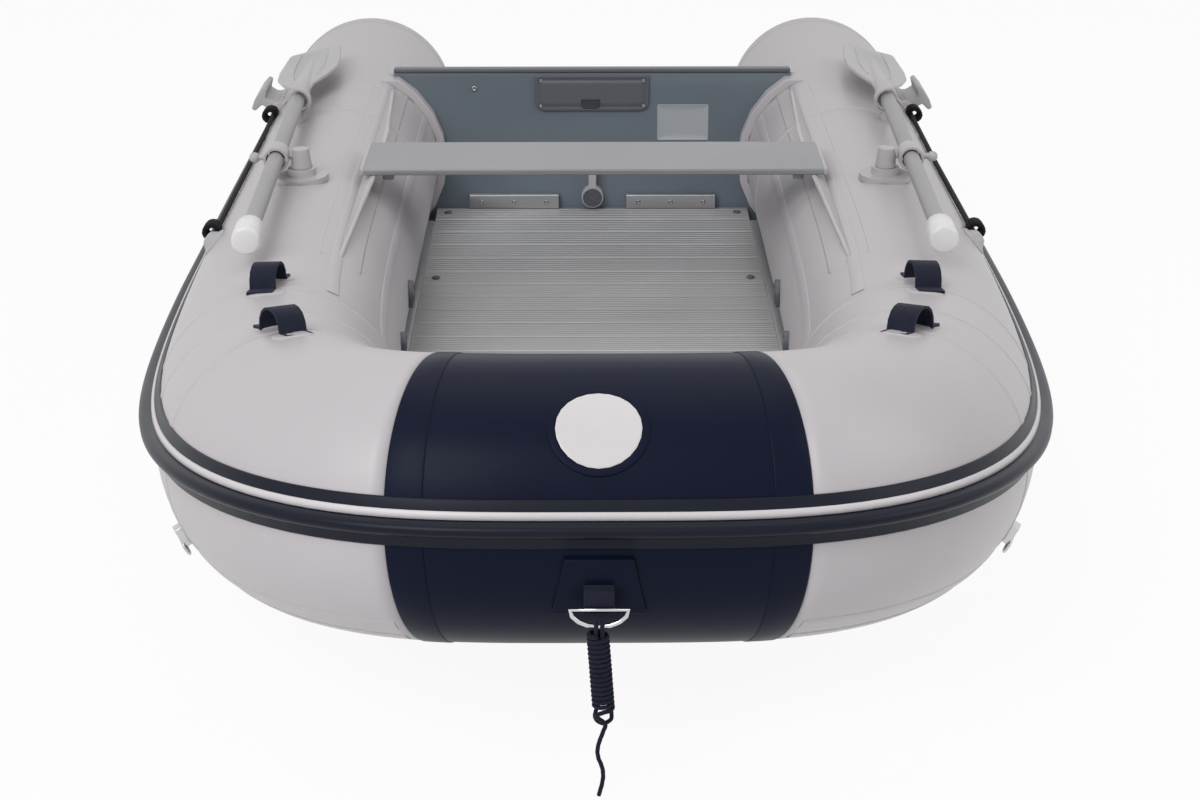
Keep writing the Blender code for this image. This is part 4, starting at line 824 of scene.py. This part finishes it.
SCREW_RADIUS = 0.0055
screw_steel = brushed_metal("stainless_steel_screws", "9A9A9C", (40.0, 40.0, 900.0), 0.3, 0.95)
SCREW_PROFILE = ((SCREW_RADIUS, -0.001), (SCREW_RADIUS, 0.0008), (SCREW_RADIUS * 0.8, 0.0020),
                 (SCREW_RADIUS * 0.45, 0.0024), (SCREW_RADIUS * 0.42, 0.0010), (0.0002, 0.0010))
screw_turns = np.linspace(0, 2 * math.pi, 16, False)
screw_rows = [[(r * math.cos(a), r * math.sin(a), h) for a in screw_turns]
              for r, h in SCREW_PROFILE]
screw = outward_normals(grid_mesh("pan_head_screw", screw_rows, screw_steel, closed=True))
hold_y = BOW_LINE_Y + TRANSOM_FACE - HOLD_DOWN_DEPTH
spots = [(side * HOLD_DOWN_X + step * HOLD_SCREW_PITCH, hold_y, HOLD_SCREW_HEIGHT)
         for side in (-1, 1) for step in (-1, 0, 1)]
placed("hold_down_screws", screw, spots, [(0, -1, 0)] * 6, screw_steel, size=0.95)
spots = [on_transom(0.0, CLAMP_PLATE_HEIGHT)(u, v, 0.0078) for u in (-0.122, 0.122)
         for v in (-0.030, 0.030)]
placed("clamp_plate_screws", screw, spots, [tuple(face_out)] * 4, screw_steel, size=0.7)
placed("transom_eye_screw", screw, [on_transom(-0.28, 0.372)(0, 0, 0.0005)], [tuple(face_out)],
       screw_steel, size=1.3)
spots = [on_transom(x, 0.26)(0, v, 0.0) - face_out * OUTER_FACE for x in (-0.13, 0.13)
         for v in (-0.11, 0.11)]
placed("outer_plate_screws", screw, spots, [tuple(-face_out)] * 4, screw_steel, size=1.0)
spots = [(side * STUD_X, BOW_LINE_Y + y, FLOOR_TOP + 0.0008) for side in (-1, 1)
         for y in STUD_YS]
placed("floor_panel_studs", screw, spots, [(0, 0, 1)] * 6, dark_nylon, size=1.7)

# Seat rails and sliding bench.
# A stiff fabric fin with a corded edge is glued along each tube; the bench is an extruded
# aluminium plank with white end caps whose clamps slide along the fins.
BENCH_Y = 1.530
BENCH_TOP = 0.427
BENCH_THICKNESS = 0.014
BENCH_WIDTH = 0.205
BENCH_HALF = 0.4635
RAIL_START, RAIL_END = 0.957, 2.235
RAIL_FOOT_X = 0.470
RAIL_LEAN = math.radians(50)
RAIL_BASE_ANGLE = math.radians(121)
RAIL_CORD_RADIUS = 0.0052
BENCH_GROOVES = 22
GROOVE_MARGIN = 0.010
GROOVE_HALF = 0.0012
GROOVE_DEPTH = 0.0009
bench_metal = brushed_metal("extruded_bench_aluminium", "97979A", (6.0, 900.0, 900.0), 0.42, 0.35)
rail_foot_angle = math.acos((RAIL_FOOT_X - TUBE_SPREAD) / TUBE_RADIUS)
rail_foot_z = TUBE_RADIUS + TUBE_RADIUS * math.sin(rail_foot_angle)
rail_rise = BENCH_TOP - BENCH_THICKNESS - 0.0003 - rail_foot_z
for side, word in ((-1, "left"), (1, "right")):
    from_cad("seat_rail_" + word, fabric_grey, 0.0012)
    taper = (RAIL_END - RAIL_START) * 0.42 / 1.2
    low, high = 0.004, rail_rise - 0.0058
    lean_in = math.tan(RAIL_LEAN)
    spots = [(side * (RAIL_FOOT_X - (h + 0.0005) * lean_in), BOW_LINE_Y + y, rail_foot_z + h)
             for y, h in ((RAIL_START + 0.01, low), (RAIL_START + taper, high),
                          (RAIL_END - taper, high), (RAIL_END - 0.01, low))]
    bead = laid_rope("rail_edge_cord_" + word, [smooth_path(spots, 8)],
                     RAIL_CORD_RADIUS, fabric_grey, strands=1, sides=10, lay=STRAIGHT_LAY)
    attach(bead, "hull")

base_tapes = []
for side in (-1, 1):
    base_tapes.append(tape("rail_base", [(side * s, RAIL_BASE_ANGLE) for s in
                                         np.linspace(run_at(0.93), run_at(2.27), 8)], 0.085,
                           fabric_grey, 0.0005))
base_tapes = joined("rail_base_tapes", base_tapes)
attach(base_tapes, "hull")

half = BENCH_WIDTH / 2
profile = [(half - 0.002, BENCH_TOP - BENCH_THICKNESS), (half, BENCH_TOP - BENCH_THICKNESS + 0.002),
           (half, BENCH_TOP - 0.0050), (half - 0.0008, BENCH_TOP - 0.0018),
           (half - 0.003, BENCH_TOP)]
for n in range(BENCH_GROOVES):
    spot = half - GROOVE_MARGIN - (2 * half - 2 * GROOVE_MARGIN) * n / (BENCH_GROOVES - 1)
    profile += [(spot + GROOVE_HALF, BENCH_TOP), (spot, BENCH_TOP - GROOVE_DEPTH),
                (spot - GROOVE_HALF, BENCH_TOP)]
profile += [(-half + 0.003, BENCH_TOP), (-half + 0.0008, BENCH_TOP - 0.0018),
            (-half, BENCH_TOP - 0.0050), (-half, BENCH_TOP - BENCH_THICKNESS + 0.002),
            (-half + 0.002, BENCH_TOP - BENCH_THICKNESS)]
bench = swept("bench_plank", profile, [(-BENCH_HALF, BOW_LINE_Y + BENCH_Y, 0),
                                       (BENCH_HALF, BOW_LINE_Y + BENCH_Y, 0)], bench_metal)
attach(bench, "bench")
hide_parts("bench_board")
for side, word in ((-1, "left"), (1, "right")):
    rim_plate("bench_end_cap_" + word,
              lambda u, v, lift, side=side: Vector((side * (BENCH_HALF + lift),
                                                    BOW_LINE_Y + BENCH_Y + u,
                                                    BENCH_TOP - BENCH_THICKNESS / 2 + v)),
              (BENCH_WIDTH + 0.001, BENCH_THICKNESS + 0.001), 0.004,
              ((0.0, -0.0005), (0.0, 0.0040), (0.0012, 0.0062), (0.004, 0.0066)), pale_nylon,
              "bench")
    from_cad("bench_clamp_" + word, pale_nylon, 0.002, "bench")

# Oars, swivels and clips.
# Satin anodised aluminium tube with a moulded nylon blade and grip; a collar clamps it to the
# swivel's arm, the socket is glued on the tube, and a clip aft holds the blade end down.
OAR_START = (0.612, 0.815, 0.470)
OAR_TIP = (0.662, 2.400, 0.443)
BLADE_LENGTH = 0.430
BLADE_ROLL = math.radians(14)
SHAFT_RADIUS = 0.019
GRIP_END = 0.0855
BLADE_SOCKET = 0.0755
RIB_RADIUS = 0.0032
oar_metal = brushed_metal("satin_anodised_aluminium", "A5A3A5", (300.0, 4.0, 300.0), 0.46, 0.15)
for side, word in ((-1, "left"), (1, "right")):
    body = "oar_" + word
    from_cad("oarlock_socket_" + word, pale_nylon, 0.003, steps=3)
    from_cad("oar_clip_" + word, pale_nylon, 0.0015)
    for part, edge in (("pin", 0.004), ("collar", 0.0025), ("grip", 0.003)):
        from_cad("oar_%s_%s" % (part, word), white_nylon if part == "grip" else pale_nylon, edge,
                 body, steps=3)
    from_cad("oar_blade_" + word, pale_nylon, 0.0012, body, crease=50)
    start, tip = [Vector((side * x, y + BOW_LINE_Y, z)) for x, y, z in (OAR_START, OAR_TIP)]
    along = (tip - start).normalized()
    level = along.cross(Vector((0, 0, 1))).normalized()
    above = level.cross(along)
    shaft_path = [start + along * d for d in
                  np.linspace(GRIP_END, (tip - start).length - BLADE_LENGTH - BLADE_SOCKET, 60)]
    shaft = laid_rope("oar_shaft_tube_" + word, [shaft_path], SHAFT_RADIUS, oar_metal, strands=0,
                      sides=40, lay=STRAIGHT_LAY)
    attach(shaft, body)
    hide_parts("oar_shaft_" + word)
    roll = (Matrix((level, along, above)).transposed()
            @ Matrix.Rotation(side * BLADE_ROLL, 3, "Y"))
    ribs = []
    blade_foot = start + along * ((tip - start).length - BLADE_LENGTH)
    for x in (-0.036, 0.036):
        for z in (-RIB_RADIUS, RIB_RADIUS):
            ribs.append(smooth_path([blade_foot + roll @ Vector(p) for p in
                                     ((x * 0.75, 0.135, z * 0.6), (x, 0.21, z), (x, 0.32, z),
                                      (x * 0.92, 0.412, z * 0.6))], 6))
    rib = laid_rope("oar_blade_ribs_" + word, ribs, RIB_RADIUS, pale_nylon, strands=1, sides=8,
                    lay=STRAIGHT_LAY)
    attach(rib, body)

# Carrying straps, side handles and lifelines.
# Navy webbing stitched into arches on welded fabric patches, moulded rubber grips by the stern,
# and a black grab line along each side between two moulded holders.
webbing_navy = woven_finish("nylon_webbing_navy", "171A29", 2.0, 0.7, 0.06, 0.8)
grab_rope = woven_finish("braided_rope_black", "121319", 1.2, 0.75, 0.05, 0.7)


def hull_place(x, y):
    """Where on the tube's upper half a point of the plan lies: place round the hull and angle."""
    best = None
    for s in np.linspace(0.0, HALF_RUN, 240):
        for angle in np.radians(range(10, 171, 4)):
            p = on_hull(s, angle)
            gap = (p[0] - abs(x)) ** 2 + (p[1] - y - BOW_LINE_Y) ** 2
            if best is None or gap < best[0]:
                best = (gap, s, angle)
    return best[1] * (1 if x >= 0 else -1), best[2]


def on_tube(s, angle, turn=0.0):
    """Mapping for a plate on the tube, turned about its middle."""
    def place(u, v, lift):
        a, b = u * math.cos(turn) - v * math.sin(turn), u * math.sin(turn) + v * math.cos(turn)
        return Vector(on_hull(s + a, angle + b / TUBE_RADIUS, lift))
    return place


PATCH_RIM = ((0.0, -0.001), (0.0, 0.0006), (0.0010, 0.0014), (0.008, 0.0018), (0.014, 0.0018))
STRAPS = (("rear", 0.556, 0.680, 6), ("front", 0.486, 0.325, -31))
STRAP_REACH = 0.052
HANDLE_Y = 2.400
HANDLE_ANGLE = math.radians(31)
LINE_START, LINE_END = 1.215, 2.230
LINE_ANGLE_DEGREES = 40
LINE_RADIUS = 0.0058
COIL_LENGTH = 0.030
COIL_POINTS = 90
for kind, x, y, heading in STRAPS:
    for side, word in ((-1, "left"), (1, "right")):
        from_cad("carry_strap_%s_%s" % (kind, word), webbing_navy, 0.0006)
        for end in (-1, 1):
            reach = end * STRAP_REACH
            foot_x = x - reach * math.sin(math.radians(heading))
            foot_y = y + reach * math.cos(math.radians(heading))
            s, angle = hull_place(side * foot_x, foot_y)
            rim_plate("strap_patch_%s_%s_%s" % (kind, word, "fore" if end < 0 else "aft"),
                      on_tube(s, angle), (0.044, 0.066), 0.018, PATCH_RIM, fabric_grey)

rubber_pale = moulded_plastic("moulded_rubber_pale_grey", "BBB8BA", 0.5)
for side, word in ((-1, "left"), (1, "right")):
    from_cad("side_handle_" + word, rubber_pale, 0.004, steps=3)
    rim_plate("side_handle_patch_" + word, on_tube(side * run_at(HANDLE_Y), HANDLE_ANGLE),
              (0.165, 0.095), 0.03, PATCH_RIM, fabric_grey)
    ends = [side * run_at(LINE_START), side * run_at(LINE_END)]
    line = [on_hull(s, math.radians(LINE_ANGLE_DEGREES + 2.0 * math.sin(t * math.pi)), 0.0068)
            for t, s in zip(np.linspace(0, 1, 60), np.linspace(ends[0], ends[1], 60))]
    runs = [line]
    for at in (0.05, 0.93):
        middle = at * (ends[1] - ends[0]) + ends[0]
        turns = []
        for n in range(COIL_POINTS + 1):
            turn = 2 * math.pi * n / 15
            s = middle + side * COIL_LENGTH * (n / COIL_POINTS - 0.5)
            aside = 0.0135 * math.sin(turn) / TUBE_RADIUS
            turns.append(on_hull(s, math.radians(LINE_ANGLE_DEGREES) + aside,
                                 0.0145 + 0.0120 * math.cos(turn)))
        runs.append(turns)
    rope = laid_rope("grab_line_" + word, runs, LINE_RADIUS, grab_rope, sides=8, lay=0.05)
    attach(rope, "hull")
    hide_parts("lifeline_" + word)
    for s, tag in zip(ends, ("fore", "aft")):
        rim_plate("grab_line_holder_%s_%s" % (word, tag),
                  on_tube(s, math.radians(LINE_ANGLE_DEGREES)),
                  (0.068, 0.056), 0.026,
                  ((0.0, -0.001), (0.0, 0.0020), (0.003, 0.0040), (0.009, 0.0060), (0.014, 0.0120),
                   (0.018, 0.0170), (0.022, 0.0185)), pale_nylon)

# Air valves.
# Moulded nylon valves welded into the inner side of each chamber, with a ribbed push cap.
for side, word in ((-1, "left"), (1, "right")):
    from_cad("air_valve_" + word, dark_nylon, 0.002)
    for y, tag in ((1.293, "main"), (0.99, "bow")):
        rim_plate("air_valve_cap_%s_%s" % (tag, word), on_tube(side * run_at(y), math.pi),
                  (0.046, 0.046), 0.022,
                  ((0.0, -0.001), (0.0, 0.0078), (0.002, 0.0100), (0.006, 0.0100),
                   (0.007, 0.0082), (0.013, 0.0082), (0.014, 0.0105)), dark_nylon)

# Bow fittings: patch, tab, rings and the round badge place.
# A welded navy patch carries a webbing tab with a stainless steel ring; the badge is a plain white
# disc in a raised navy rim, and a small ring with its tab sits below each corner.
from_cad("bow_patch", fabric_navy, 0.0015)
from_cad("bow_ring_tab", webbing_navy, 0.002)
polished_steel = brushed_metal("polished_stainless_steel", "C8C8CA", (30.0, 30.0, 30.0), 0.16, 1.0)
from_cad("bow_ring", polished_steel, 0.0, crease=70)
for word in ("left", "right"):
    from_cad("corner_ring_" + word, polished_steel, 0.0006, crease=60)
BADGE_ANGLE = math.radians(51)
rim_plate("badge_rim", on_tube(0.0, BADGE_ANGLE), (0.140, 0.140), 0.0699,
          ((0.0, -0.001), (0.0, 0.0012), (0.0012, 0.0026), (0.006, 0.0030), (0.010, 0.0026),
           (0.0112, 0.0012)), fabric_navy)
rim_plate("badge_disc", on_tube(0.0, BADGE_ANGLE), (0.117, 0.117), 0.0584,
          ((0.0, 0.0006), (0.0, 0.0024), (0.0006, 0.0028), (0.003, 0.0028)), rubber_white)
bpy.data.objects.remove(screw)

bpy.context.view_layer.update()
